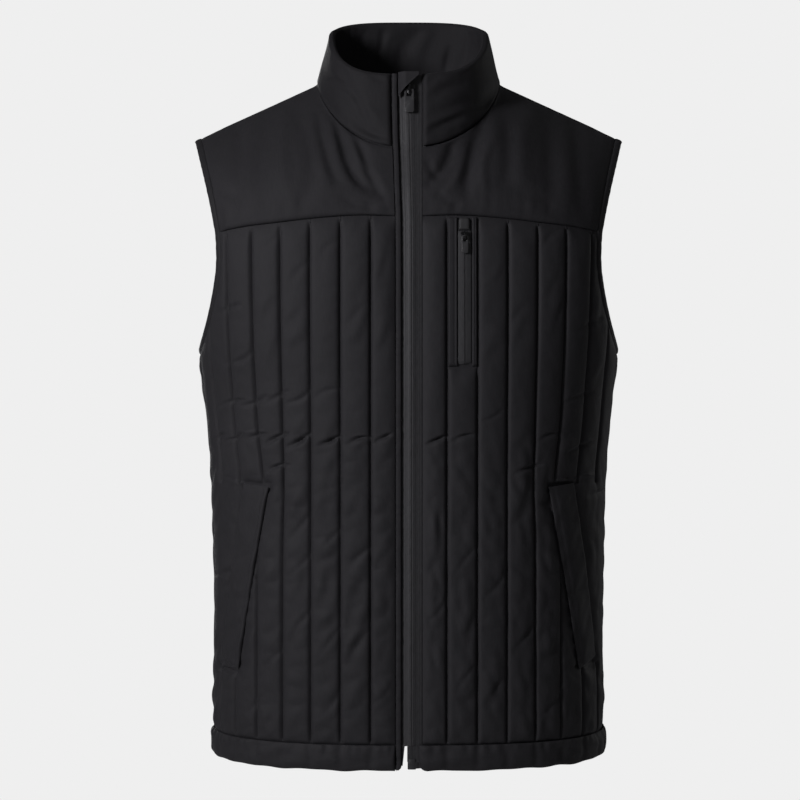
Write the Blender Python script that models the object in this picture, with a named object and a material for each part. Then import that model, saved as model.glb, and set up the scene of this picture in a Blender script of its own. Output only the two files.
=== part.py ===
# A man's quilted zip vest, hollow and filled out as if worn.
# Metres, +Z up. The front faces -Y and the wearer's left is +X.
# The origin lies midway between the two points where the shoulders meet the neck.
# The figure is a stack of rings. Every piece is cut from it by arc length from the centre front or back.

import math
from collections import namedtuple
from functools import lru_cache

import bmesh
import bpy
import numpy as np
from mathutils import Matrix, Vector

# Seams and edges
SEAM_GAP = 0.0003             # left open between neighbouring pieces
HEM_Z = -0.665                # bottom edge of the hem band
HEM_BAND = 0.025              # height of the hem band
UNDERARM_Z = -0.268           # lowest point of the armhole seam
SIDE_SEAM_Y = -0.020          # the side seams sit a little forward
FRONT_EDGE = 0.0132           # from the centre front to the edge of each front and collar end
BACK_SEAM_Z = -0.150          # yoke seam across the back
SEAM_NOMINAL = -0.150         # yoke seam of the fronts at the armhole

# Quilting
QUILT_FIRST = 0.0365          # first stitch line from the centre front
QUILT_PITCH = 0.0293          # from one stitch line to the next
VALLEY = 0.0010               # outer face above the figure at a stitch line
PUFF = 0.0034                 # rise of a channel above its stitch lines
WALL_IN = -0.0015             # inner face of the cloth
YOKE_OUT = 0.0022             # outer face of the plain cloth

# Front zip
ZIP_X = 0.0028                # the zip's meeting line
TAPE_IN, TAPE_OUT = -0.0018, -0.0006
STRIP_X = (-0.0128, -0.0068)  # the edge strip, on the wearer's right
ZIP_FOOT_Z = -0.6530          # lower end of the tapes
ZIP_LEAN = 0.0038             # how far the zip's top leans to the wearer's right
LEAN_Z = (-0.170, -0.010)     # from where to where it leans
HEM_DIP = 0.0030              # how far the hem dips at the front
DIP_Z = (-0.450, -0.660)      # from where to where it dips

Section = namedtuple("Section", "z half_width front_depth back_depth squareness")
FIGURE = (
    Section(-0.665, 0.1935, 0.1290, 0.1180, 2.30),
    Section(-0.560, 0.1920, 0.1280, 0.1140, 2.28),
    Section(-0.460, 0.1930, 0.1270, 0.1100, 2.22),
    Section(-0.360, 0.1970, 0.1280, 0.1120, 2.15),
    Section(-0.300, 0.2030, 0.1290, 0.1160, 2.20),
    Section(-0.262, 0.2075, 0.1290, 0.1200, 2.40),
    Section(-0.200, 0.2100, 0.1260, 0.1240, 2.65),
    Section(-0.130, 0.2105, 0.1180, 0.1220, 2.80),
    Section(-0.060, 0.2105, 0.1080, 0.1160, 2.80),
)

# Half width of the figure where the armhole seam crosses each level
Trim = namedtuple("Trim", "z front_x back_x")
ARMHOLE = (
    Trim(-0.257, 0.2010, 0.2030),
    Trim(-0.245, 0.1965, 0.1990),
    Trim(-0.225, 0.1905, 0.1935),
    Trim(-0.205, 0.1860, 0.1900),
    Trim(-0.185, 0.1830, 0.1880),
    Trim(-0.160, 0.1830, 0.1870),
    Trim(-0.141, 0.1845, 0.1875),
    Trim(-0.120, 0.1870, 0.1890),
)

# Height of the front yoke seam along the arc from the centre front
YokeSeam = namedtuple("YokeSeam", "arc z")
YOKE_SEAM = (
    YokeSeam(0.0130, -0.1362),
    YokeSeam(0.0470, -0.1354),
    YokeSeam(0.0860, -0.1378),
    YokeSeam(0.1265, -0.1420),
    YokeSeam(0.1610, -0.1455),
    YokeSeam(0.1980, -0.1510),
)

# Neck seam and collar top: rings with their own height at front, side and back
NeckRing = namedtuple("NeckRing", "half_width front back z_front z_side z_back squareness drop")
NECK_SEAM = NeckRing(0.0885, 0.0980, 0.0660, -0.0690, 0.0000, -0.0060, 2.2, 1.25)
COLLAR_TOP = NeckRing(0.0752, 0.0850, 0.0550, 0.0030, 0.0515, 0.0675, 3.0, 0.85)
COLLAR_LIFT = 0.0013          # collar's lower edge above the neck seam
COLLAR_OUT, COLLAR_IN = 0.0034, -0.0036
SHOULDER_TIP = Vector((0.2080, 0.0060, -0.0540))
NECK_SHARE = 0.40             # share of the yoke's top edge that lies on the neck
FRONT_NECK_STEPS = 9          # grid columns along each front of the neck seam
BACK_NECK_STEPS = 8           # and along each half of the back
SHOULDER_STEPS = 5            # and along a shoulder

# Armhole binding: across the seam and through the cloth
BINDING = (0.0003, 0.0060, -0.0018, 0.0026)

# Hand pocket welt: arc length and height of its corners
Corner = namedtuple("Corner", "arc z")
WELT_INNER = (Corner(0.1390, -0.3970), Corner(0.1775, -0.5745))
WELT_OUTER = (Corner(0.1700, -0.3940), Corner(0.2070, -0.5650))
WELT_THICK = 0.0030

# Chest pocket on the wearer's left, along the arc and in height
CHEST_INNER_WELT = (0.0375, 0.0465)
CHEST_TAPES = (0.0469, 0.0532, 0.0535, 0.0598)
CHEST_OUTER_WELT = (0.0602, 0.0648)
CHEST_Z = (-0.2800, -0.1375)
CHEST_TAB_Z = -0.1500

# Places on a front where the channels are held flat
FlatZone = namedtuple("FlatZone", "arc_from arc_to z_low z_high level")
HAND_ZONE = FlatZone(0.130, 0.300, -0.605, -0.365, 0.0022)
CHEST_ZONE = FlatZone(0.0360, 0.0663, -0.292, -0.100, VALLEY)

# Zip hardware, in the slider's own frame: across, along the tape, out from it
Hardware = namedtuple("Hardware", "shoulder foot length body axis_out crown pull_width pull_length pull_thick")
FRONT_SLIDER = Hardware(0.0092, 0.0066, 0.0120, 0.0030, 0.0040, 0.0062, 0.0072, 0.0225, 0.0013)
CHEST_SLIDER = Hardware(0.0076, 0.0056, 0.0090, 0.0024, 0.0033, 0.0053, 0.0064, 0.0165, 0.0012)
FRONT_SLIDER_Z = -0.0135
CHEST_SLIDER_Z = -0.1560

WELD = 0.00002
COLOURS = {
    "quilt": (0.022, 0.022, 0.024, 1.0),
    "plain": (0.024, 0.024, 0.026, 1.0),
    "facing": (0.020, 0.020, 0.022, 1.0),
    "trim": (0.018, 0.018, 0.020, 1.0),
    "tape": (0.030, 0.030, 0.032, 1.0),
    "hardware": (0.012, 0.012, 0.013, 1.0),
}


def clear_scene():
    for item in list(bpy.data.objects):
        bpy.data.objects.remove(item, do_unlink=True)


def ease(low, high, place):
    t = min(1.0, max(0.0, (place - low) / (high - low)))
    return t * t * (3 - 2 * t)


def settle(point):
    """How the whole vest has settled: its zip leans at the top, its hem dips at the front."""
    across = ease(FRONT_EDGE, -0.004, point.x) * (1 - ease(-0.020, -0.085, point.x))
    lean = -ZIP_LEAN * ease(*LEAN_Z, point.z) * across
    dip = -HEM_DIP * ease(*DIP_Z, point.z) * ease(0.020, -0.125, point.y)
    return Vector((lean, 0, dip))


def finish_object(name, bm, colour):
    """Make a named object with its own material from a closed bmesh."""
    for vert in bm.verts:
        vert.co += settle(vert.co)
    bmesh.ops.remove_doubles(bm, verts=bm.verts, dist=WELD)
    bmesh.ops.recalc_face_normals(bm, faces=bm.faces)
    mesh = bpy.data.meshes.new(name)
    bm.to_mesh(mesh)
    bm.free()
    mesh.shade_smooth()
    mesh.set_sharp_from_angle(angle=math.radians(50))
    material = bpy.data.materials.new(name)
    material.use_nodes = True
    shader = material.node_tree.nodes["Principled BSDF"]
    shader.inputs["Base Color"].default_value = COLOURS[colour]
    shader.inputs["Roughness"].default_value = 0.35 if colour == "hardware" else 0.85
    mesh.materials.append(material)
    item = bpy.data.objects.new(name, mesh)
    bpy.context.collection.objects.link(item)
    return item


def smooth(place, knots, values):
    """Cubic curve through a table's points."""
    knots = np.asarray(knots, dtype=float)
    values = np.asarray(values, dtype=float)
    slopes = np.gradient(values, knots)
    i = int(np.clip(np.searchsorted(knots, place) - 1, 0, len(knots) - 2))
    span = knots[i + 1] - knots[i]
    t = (place - knots[i]) / span
    start = values[i] * (1 + 2 * t) * (1 - t) ** 2 + values[i + 1] * t * t * (3 - 2 * t)
    return float(start + span * (slopes[i] * t * (1 - t) ** 2 - slopes[i + 1] * t * t * (1 - t)))


def column(table, name):
    return [getattr(row, name) for row in table]


@lru_cache(maxsize=None)
def half_ring(z):
    """The figure's ring at height z, from the centre front round +X to the centre back."""
    levels = column(FIGURE, "z")
    width, front, back, square = (smooth(z, levels, column(FIGURE, n)) for n in Section._fields[1:])
    turn = np.linspace(0.0, math.pi, 361)
    x = width * np.abs(np.sin(turn)) ** (2 / square)
    y = np.where(turn < math.pi / 2, -front, back) * np.abs(np.cos(turn)) ** (2 / square)
    arc = np.concatenate([[0.0], np.cumsum(np.hypot(np.diff(x), np.diff(y)))])
    return x, y, arc


def front_point(arc, z):
    x, y, arcs = half_ring(round(z, 7))
    return Vector((np.interp(arc, arcs, x), np.interp(arc, arcs, y), z))


def back_point(arc, z):
    """As front_point, with the arc measured from the centre back and a sign for the side."""
    x, y, arcs = half_ring(round(z, 7))
    place = arcs[-1] - abs(arc)
    return Vector((math.copysign(np.interp(place, arcs, x), arc), np.interp(place, arcs, y), z))


def armhole_arc(z, name):
    """Arc length from the centre front to the side seam, or to the armhole seam above the underarm."""
    x, y, arcs = half_ring(round(z, 7))
    half = len(x) // 2
    side = float(np.interp(SIDE_SEAM_Y, y[:half], arcs[:half]))
    if z <= UNDERARM_Z:
        return side
    lowest = half_ring(UNDERARM_Z)
    side_x = float(np.interp(SIDE_SEAM_Y, lowest[1][:half], lowest[0][:half]))
    trim = smooth(z, [UNDERARM_Z] + column(ARMHOLE, "z"), [side_x] + column(ARMHOLE, name))
    if name == "front_x":
        return min(side, float(np.interp(trim, x[:half], arcs[:half])))
    back = float(np.interp(-trim, -x[half:], arcs[half:]))
    return max(side, back)


def front_edge_arc(z):
    return armhole_arc(z, "front_x") - SEAM_GAP / 2


def back_edge_arc(z):
    return half_ring(round(z, 7))[2][-1] - armhole_arc(z, "back_x") - SEAM_GAP / 2


def yoke_seam_z(arc):
    return smooth(arc, column(YOKE_SEAM, "arc"), column(YOKE_SEAM, "z"))


def ring_point(ring, turn):
    """Point of a neck ring; turn runs from 0 at the centre front to 1 at the centre back, on +X."""
    angle = math.pi * turn
    across = ring.half_width * abs(math.sin(angle)) ** (2 / ring.squareness)
    share = abs(math.cos(angle))
    ahead = share ** (2 / ring.squareness)
    front = turn < 0.5
    y = -ring.front * ahead if front else ring.back * ahead
    end = ring.z_front if front else ring.z_back
    return Vector((across, y, ring.z_side + (end - ring.z_side) * share ** ring.drop))


def edge_turn(ring):
    """Turn at which a neck ring meets the front opening."""
    return math.asin((FRONT_EDGE / ring.half_width) ** (ring.squareness / 2)) / math.pi


def arch(foot, head, end_direction, rise):
    """Curve that leaves foot upright and reaches head along end_direction."""
    reach = 0.38 * (head - foot).length
    lean = (head.x - foot.x) / 3
    first = foot + Vector((lean, 0, reach))
    second = head - end_direction * reach
    second.x = head.x - lean
    b, a = rise, 1 - rise
    return foot * a ** 3 + first * (3 * a * a * b) + second * (3 * a * b * b) + head * b ** 3


def yoke_head(share, back):
    """Top edge of a yoke on +X: along the neck, then along the shoulder."""
    if share <= NECK_SHARE:
        t = share / NECK_SHARE
        start = 1.0 if back else edge_turn(NECK_SEAM)
        return ring_point(NECK_SEAM, start + (0.5 - start) * t)
    t = (share - NECK_SHARE) / (1 - NECK_SHARE)
    return ring_point(NECK_SEAM, 0.5).lerp(SHOULDER_TIP, t)


def head_direction(share, back):
    """Way the yoke runs where it meets its top edge."""
    t = min(1.0, max(0.0, share / NECK_SHARE))
    steep, flat = (60, 14) if back else (70, 30)
    lift = math.radians(steep + (flat - steep) * t ** 1.2)
    ahead = -1 if back else 1
    return Vector((0, ahead * math.cos(lift), math.sin(lift)))


@lru_cache(maxsize=None)
def front_corner():
    """Arc at which the front yoke seam meets the armhole seam."""
    arc = 0.19
    for _ in range(20):
        arc = front_edge_arc(yoke_seam_z(arc))
    return arc


def front_yoke_point(share, rise):
    arc = FRONT_EDGE + (front_corner() - FRONT_EDGE) * share
    foot = front_point(arc, yoke_seam_z(arc))
    return arch(foot, yoke_head(share, False), head_direction(share, False), rise)


def back_yoke_point(share, rise):
    """share runs from -1 to 1 across the back."""
    foot = back_point(abs(share) * back_edge_arc(BACK_SEAM_Z), BACK_SEAM_Z)
    point = arch(foot, yoke_head(abs(share), True), head_direction(abs(share), True), rise)
    point.x = math.copysign(point.x, share)
    return point


def collar_point(share, rise):
    """share runs from 0 at the left end round the back to 1 at the right end."""
    points = []
    for ring in (NECK_SEAM, COLLAR_TOP):
        start = edge_turn(ring)
        turn = start + (2 - 2 * start) * share
        side = 1 if turn <= 1 else -1
        point = ring_point(ring, turn if turn <= 1 else 2 - turn)
        points.append(Vector((side * point.x, point.y, point.z)))
    return points[0].lerp(points[1], rise)


def yoke_columns(neck_steps):
    """Shares across a yoke: its columns on the neck meet those of the collar."""
    neck = [NECK_SHARE * k / neck_steps for k in range(neck_steps)]
    return neck + [NECK_SHARE + (1 - NECK_SHARE) * k / SHOULDER_STEPS for k in range(SHOULDER_STEPS + 1)]


def collar_columns():
    """Shares along the collar, at the same points of the neck seam as the yokes' columns."""
    start = edge_turn(NECK_SEAM)
    turns = [start + (0.5 - start) * k / FRONT_NECK_STEPS for k in range(FRONT_NECK_STEPS)]
    turns += [0.5 + 0.5 * k / BACK_NECK_STEPS for k in range(BACK_NECK_STEPS + 1)]
    turns += [2 - turn for turn in reversed(turns[:-1])]
    return [(turn - start) / (2 - 2 * start) for turn in turns]


def surface(point, us, vs, step, centre):
    """Points and unit normals of point(u, v); the normals face away from the centre."""
    base = np.empty(us.shape + (3,))
    normals = np.empty_like(base)
    for place in np.ndindex(us.shape):
        u, v = float(us[place]), float(vs[place])
        base[place] = point(u, v)
        along = point(u + step, v) - point(u - step, v)
        up = point(u, v + step) - point(u, v - step)
        normals[place] = along.cross(up).normalized()
    if np.sum(normals * (base - np.asarray(centre))) < 0:
        normals = -normals
    return base, normals


def mirrored(grid):
    return grid * np.array([-1.0, 1.0, 1.0])


def wall(name, base, normals, outer, inner, colour):
    """Closed cloth wall between two skins raised from a grid of points."""
    rows, cols = base.shape[:2]
    outer = np.broadcast_to(outer, (rows, cols))[..., None]
    inner = np.broadcast_to(inner, (rows, cols))[..., None]
    bm = bmesh.new()
    skins = []
    for offset in (outer, inner):
        skin = base + normals * offset
        skins.append([[bm.verts.new(point) for point in row] for row in skin])
    face, lining = skins
    for i in range(rows - 1):
        for j in range(cols - 1):
            for skin in skins:
                bm.faces.new((skin[i][j], skin[i][j + 1], skin[i + 1][j + 1], skin[i + 1][j]))
    border = [(0, j) for j in range(cols)]
    border += [(i, cols - 1) for i in range(1, rows)]
    border += [(rows - 1, j) for j in range(cols - 2, -1, -1)]
    border += [(i, 0) for i in range(rows - 2, 0, -1)]
    for (i, j), (m, n) in zip(border, border[1:] + border[:1]):
        bm.faces.new((face[i][j], lining[i][j], lining[m][n], face[m][n]))
    return finish_object(name, bm, colour)


def sweep(name, centres, across, out, profile, closed, colour):
    """Closed bar: a profile of (across, out) points carried along a row of stations."""
    bm = bmesh.new()
    loops = []
    for centre, a, o in zip(centres, across, out):
        loops.append([bm.verts.new(np.asarray(centre) + a * p + o * q) for p, q in profile])
    count = len(profile)
    pairs = list(zip(loops, loops[1:]))
    if closed:
        pairs.append((loops[-1], loops[0]))
    for one, two in pairs:
        for k in range(count):
            n = (k + 1) % count
            bm.faces.new((one[k], one[n], two[n], two[k]))
    if not closed:
        bm.faces.new(loops[0])
        bm.faces.new(loops[-1])
    return finish_object(name, bm, colour)


def oval(low_a, high_a, low_b, high_b, count, square):
    """Rounded profile that fills a rectangle."""
    points = []
    for k in range(count):
        angle = 2 * math.pi * (k + 0.5) / count
        c, s = math.cos(angle), math.sin(angle)
        a = math.copysign(abs(c) ** (2 / square), c)
        b = math.copysign(abs(s) ** (2 / square), s)
        points.append((
            (low_a + high_a) / 2 + a * (high_a - low_a) / 2,
            (low_b + high_b) / 2 + b * (high_b - low_b) / 2,
        ))
    return points


def box_profile(low_a, high_a, low_b, high_b):
    return [(low_a, low_b), (high_a, low_b), (high_a, high_b), (low_a, high_b)]


def quilt_columns(first, start, stop, steps):
    """Arcs of the grid columns: a few to each channel, one on every stitch line."""
    lines = [start]
    line = first
    while line < stop:
        lines.append(line)
        line += QUILT_PITCH
    lines.append(stop)
    columns = []
    for low, high in zip(lines, lines[1:]):
        columns += [low + (high - low) * k / steps for k in range(steps)]
    return columns + [stop], lines


def padding(arc, z, lines, z_low, z_high, zones):
    """Height of the outer face of a quilted panel above the figure."""
    k = int(np.clip(np.searchsorted(lines, arc) - 1, 0, len(lines) - 2))
    share = np.clip((arc - lines[k]) / (lines[k + 1] - lines[k]), 0, 1)
    ends = min(1.0, 0.35 + 0.65 * max(0.0, min(z - z_low, z_high - z)) / 0.030)
    height = VALLEY + PUFF * math.sin(math.pi * share) ** 0.7 * ends
    for zone in zones:
        if zone.arc_from <= arc <= zone.arc_to and zone.z_low - 1e-6 <= z <= zone.z_high:
            height = zone.level
    return height


def panel_rows():
    """Heights of the grid rows of a quilted panel, closer together beside the armhole."""
    below = list(np.linspace(HEM_Z + HEM_BAND, CHEST_ZONE.z_low, 8)) + [UNDERARM_Z]
    above = [UNDERARM_Z + h for h in (0.008, 0.019, 0.036, 0.060, 0.092)]
    return below + above + [SEAM_NOMINAL]


def panel_grid(columns, edge_arc, seam_z):
    """Arc and height of every grid point, held inside the side seam and the armhole seam."""
    rows = panel_rows()
    us = np.empty((len(rows), len(columns)))
    vs = np.empty_like(us)
    for i, level in enumerate(rows):
        climb = max(0.0, (level - UNDERARM_Z) / (SEAM_NOMINAL - UNDERARM_Z)) ** 2
        for j, target in enumerate(columns):
            z, arc = level, target
            for _ in range(4):
                limit = edge_arc(z)
                arc = limit if abs(target) > limit - 0.002 else abs(target)
                z = level + climb * (seam_z(arc) - SEAM_NOMINAL)
            us[i, j] = math.copysign(arc, target)
            vs[i, j] = z
    vs[0] += SEAM_GAP / 2
    vs[-1] -= SEAM_GAP / 2
    return us, vs


def pads(us, vs, lines, seam_z, zones):
    outer = np.empty(us.shape)
    for place in np.ndindex(us.shape):
        arc = abs(us[place])
        outer[place] = padding(arc, vs[place], lines, HEM_Z + HEM_BAND, seam_z(arc), zones)
    return outer


def unit_grid(low_u, high_u, count_u, low_v, high_v, count_v):
    us, vs = np.meshgrid(np.linspace(low_u, high_u, count_u), np.linspace(low_v, high_v, count_v))
    return us, vs


def soft_edges(us, vs, low_u, high_u, height):
    """Outer height of plain padded cloth, thinner at its seams."""
    near_u = np.minimum(us - low_u, high_u - us) / (high_u - low_u)
    near = np.minimum(near_u * 2.2, np.minimum(vs, 1 - vs)) / 0.25
    return 0.0004 + (height - 0.0004) * np.clip(near, 0, 1) ** 0.6


def build_fronts():
    """Quilted fronts; gives back the left one's grid for what is made from it."""
    columns, lines = quilt_columns(QUILT_FIRST, FRONT_EDGE, 0.285, 3)
    us, vs = panel_grid(columns, front_edge_arc, yoke_seam_z)
    base, normals = surface(front_point, us, vs, 1e-4, (0, 0, -0.4))
    left = pads(us, vs, lines, yoke_seam_z, (CHEST_ZONE, HAND_ZONE))
    right = pads(us, vs, lines, yoke_seam_z, (HAND_ZONE,))
    wall("front_panel_left", base, normals, left, WALL_IN, "quilt")
    wall("front_panel_right", mirrored(base), mirrored(normals), right, WALL_IN, "quilt")
    return base, normals


def build_back():
    """Quilted back; gives back its grid."""
    columns, lines = quilt_columns(QUILT_PITCH / 2, 0.0, 0.345, 2)
    columns = [-c for c in reversed(columns[1:])] + columns
    us, vs = panel_grid(columns, back_edge_arc, lambda arc: BACK_SEAM_Z)
    base, normals = surface(back_point, us, vs, 1e-4, (0, 0, -0.4))
    lines = [-QUILT_PITCH / 2] + lines[1:]
    outer = pads(us, vs, lines, lambda arc: BACK_SEAM_Z, ())
    wall("back_panel", base, normals, outer, WALL_IN, "quilt")
    return base, normals


def yoke_grid(point, columns, height):
    us, vs = np.meshgrid(columns, np.linspace(0, 1, 8))
    inset = np.interp(vs, (0, 1), (SEAM_GAP / 2 / height, 1 - SEAM_GAP / height))
    base, normals = surface(point, us, inset, 1e-3, (0, 0, -0.2))
    return us, vs, base, normals


def build_yokes():
    """Plain front and back yokes, which lean alike where they meet on the shoulder."""
    us, vs, front, front_n = yoke_grid(front_yoke_point, yoke_columns(FRONT_NECK_STEPS), 0.10)
    half = yoke_columns(BACK_NECK_STEPS)
    across = [-c for c in reversed(half[1:])] + half
    back_us, back_vs, back, back_n = yoke_grid(back_yoke_point, across, 0.12)
    shoulder = SHOULDER_STEPS + 1
    shared = front_n[-1, -shoulder:] + back_n[-1, -shoulder:]
    shared /= np.linalg.norm(shared, axis=1)[:, None]
    front_n[-1, -shoulder:] = shared
    back_n[-1, -shoulder:] = shared
    back_n[-1, :shoulder] = mirrored(shared[::-1])
    outer = soft_edges(us, vs, -0.4, 1, YOKE_OUT)
    wall("front_yoke_left", front, front_n, outer, WALL_IN, "plain")
    wall("front_yoke_right", mirrored(front), mirrored(front_n), outer, WALL_IN, "plain")
    wall("back_yoke", back, back_n, soft_edges(back_us, back_vs, -1, 1, YOKE_OUT), WALL_IN, "plain")
    return front, front_n, back, back_n


def build_collar():
    share, rise = np.meshgrid(collar_columns(), np.linspace(COLLAR_LIFT / 0.07, 1, 4))
    base, normals = surface(collar_point, share, rise, 1e-3, (0, -0.015, 0))
    wall("collar_outer", base, normals, COLLAR_OUT, 0.0, "plain")
    wall("collar_inner", base, normals, -SEAM_GAP, COLLAR_IN, "facing")


def build_bindings(front, front_n, back, back_n, front_yoke, front_yoke_n, back_yoke, back_yoke_n):
    """Strip round each armhole, from the edge points of the four pieces that meet there."""
    above = [i for i in range(front.shape[0]) if front[i, -1, 2] >= UNDERARM_Z - 1e-6]
    points = [front[i, -1] for i in above]
    normals = [front_n[i, -1] for i in above]
    points += list(front_yoke[1:, -1]) + list(back_yoke[-2::-1, -1])
    normals += list(front_yoke_n[1:, -1]) + list(back_yoke_n[-2::-1, -1])
    points += [back[i, -1] for i in reversed(above[1:-1])]
    normals += [back_n[i, -1] for i in reversed(above[1:-1])]
    points, normals = np.array(points), np.array(normals)
    tangents = np.roll(points, -1, axis=0) - np.roll(points, 1, axis=0)
    across = np.cross(normals, tangents)
    across /= np.linalg.norm(across, axis=1)[:, None]
    middle = points.mean(axis=0)
    across *= np.sign(np.sum(across * (middle - points)))
    profile = oval(*BINDING, 8, 3.2)
    sweep("armhole_binding_left", points, across, normals, profile, True, "trim")
    sweep("armhole_binding_right", mirrored(points), mirrored(across), mirrored(normals), profile, True, "trim")


def build_hem():
    """Puffed band below the hem seam, in three pieces."""
    level = HEM_Z + HEM_BAND / 2
    profile = oval(-0.0024, 0.0042, -HEM_BAND / 2, HEM_BAND / 2 - SEAM_GAP / 2, 8, 2.8)
    side = front_edge_arc(level)
    arcs, _ = quilt_columns(QUILT_FIRST, FRONT_EDGE, side, 2)
    us = np.array([arcs])
    base, normals = surface(front_point, us, np.full_like(us, level), 1e-4, (0, 0, level))
    up = np.tile([0.0, 0.0, 1.0], (len(arcs), 1))
    swapped = [(q, p) for p, q in profile]
    sweep("hem_band_left", base[0], up, normals[0], swapped, False, "quilt")
    sweep("hem_band_right", mirrored(base[0]), up, mirrored(normals[0]), swapped, False, "quilt")
    half, _ = quilt_columns(QUILT_PITCH / 2, 0.0, back_edge_arc(level), 2)
    us = np.array([[-c for c in reversed(half[1:])] + half])
    base, normals = surface(back_point, us, np.full_like(us, level), 1e-4, (0, 0, level))
    up = np.tile([0.0, 0.0, 1.0], (us.shape[1], 1))
    sweep("hem_band_back", base[0], up, normals[0], swapped, False, "quilt")


@lru_cache(maxsize=None)
def front_line():
    """The centre front from hem to collar top, as heights and depths."""
    line = [front_point(FRONT_EDGE, z) for z in np.linspace(HEM_Z, yoke_seam_z(FRONT_EDGE) - 0.004, 14)]
    line += [front_yoke_point(0, b) for b in np.linspace(0.05, 0.95, 5)]
    line += [collar_point(0, v) for v in np.linspace(0.04, 1, 6)]
    return tuple(p.z for p in line), tuple(p.y for p in line)


def front_frame(z, x):
    """Frame on the centre front: across, along the zip, out from it."""
    levels, depths = front_line()
    place = Vector((x, float(np.interp(z, levels, depths)), z))
    ahead = float(np.interp(z + 0.012, levels, depths)) - float(np.interp(z - 0.012, levels, depths))
    along = Vector((0, ahead, 0.024)).normalized()
    return place, Vector((1, 0, 0)), along, Vector((1, 0, 0)).cross(along)


def along_front(name, low_z, high_z, profile, colour):
    levels = front_line()[0]
    stations = [low_z] + [z for z in levels if low_z + 0.004 < z < high_z - 0.004] + [high_z]
    frames = [front_frame(z, 0.0) for z in stations]
    across = [np.array(f[1]) for f in frames]
    sweep(name, [f[0] for f in frames], across, [np.array(f[3]) for f in frames], profile, False, colour)


def build_front_zip():
    top = COLLAR_TOP.z_front - 0.0012
    half = SEAM_GAP / 2
    tape = (TAPE_IN, TAPE_OUT)
    along_front("zip_tape_right", ZIP_FOOT_Z, top, box_profile(STRIP_X[1] + SEAM_GAP, ZIP_X - half, *tape), "tape")
    along_front("zip_tape_left", ZIP_FOOT_Z, top, box_profile(ZIP_X + half, FRONT_EDGE - SEAM_GAP, *tape), "tape")
    along_front("edge_strip", HEM_Z + 0.001, COLLAR_TOP.z_front, box_profile(*STRIP_X, -0.0014, 0.0018), "plain")
    place, across, along, out = front_frame(ZIP_FOOT_Z - SEAM_GAP - 0.0052, ZIP_X)
    stations = [place - along * 0.0050, place + along * 0.0050]
    profile = oval(-0.0042, 0.0042, -0.0030, 0.0008, 8, 3.5)
    frames = [np.array(across)] * 2, [np.array(out)] * 2
    sweep("zip_box", stations, *frames, profile, False, "hardware")


def build_garage():
    """Folded triangle over the top of the slider, rising from the edge strip."""
    share, rise = unit_grid(0, 1, 7, 0, 1, 4)
    base = np.empty(share.shape + (3,))
    out = np.empty_like(base)
    for place in np.ndindex(share.shape):
        s = share[place]
        low = -0.0205 + 0.0215 * s
        z = low + (COLLAR_TOP.z_front + 0.001 - low) * rise[place]
        x = STRIP_X[1] + SEAM_GAP + 0.0165 * s
        frame = front_frame(z, x)
        lift = 0.0012 + 0.0058 * math.sin(min(1.0, s / 0.45) * math.pi / 2)
        base[place] = frame[0] + frame[3] * lift
        out[place] = frame[3]
    wall("zip_garage", base, out, 0.0012, 0.0, "plain")


def prism(outline, low, high, frame):
    """Outline of (across, along) points carried out from the zip."""
    place, across, along, out = frame
    bm = bmesh.new()
    ends = []
    for level in (low, high):
        ends.append([bm.verts.new(place + across * a + along * b + out * level) for a, b in outline])
    bm.faces.new(ends[0])
    bm.faces.new(ends[1])
    for k in range(len(outline)):
        n = (k + 1) % len(outline)
        bm.faces.new((ends[0][k], ends[0][n], ends[1][n], ends[1][k]))
    return bm


def block(low_a, high_a, low_b, high_b, low, high, frame):
    outline = [(low_a, low_b), (high_a, low_b), (high_a, high_b), (low_a, high_b)]
    return prism(outline, low, high, frame)


def combine(item, bm, operation):
    """Boolean of an object with a second solid."""
    other = finish_object("second", bm, "hardware")
    modifier = item.modifiers.new("combine", "BOOLEAN")
    modifier.operation = operation
    modifier.solver = "EXACT"
    modifier.object = other
    graph = bpy.context.evaluated_depsgraph_get()
    mesh = bpy.data.meshes.new_from_object(item.evaluated_get(graph))
    item.modifiers.clear()
    item.data = mesh
    bpy.data.objects.remove(other, do_unlink=True)


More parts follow.
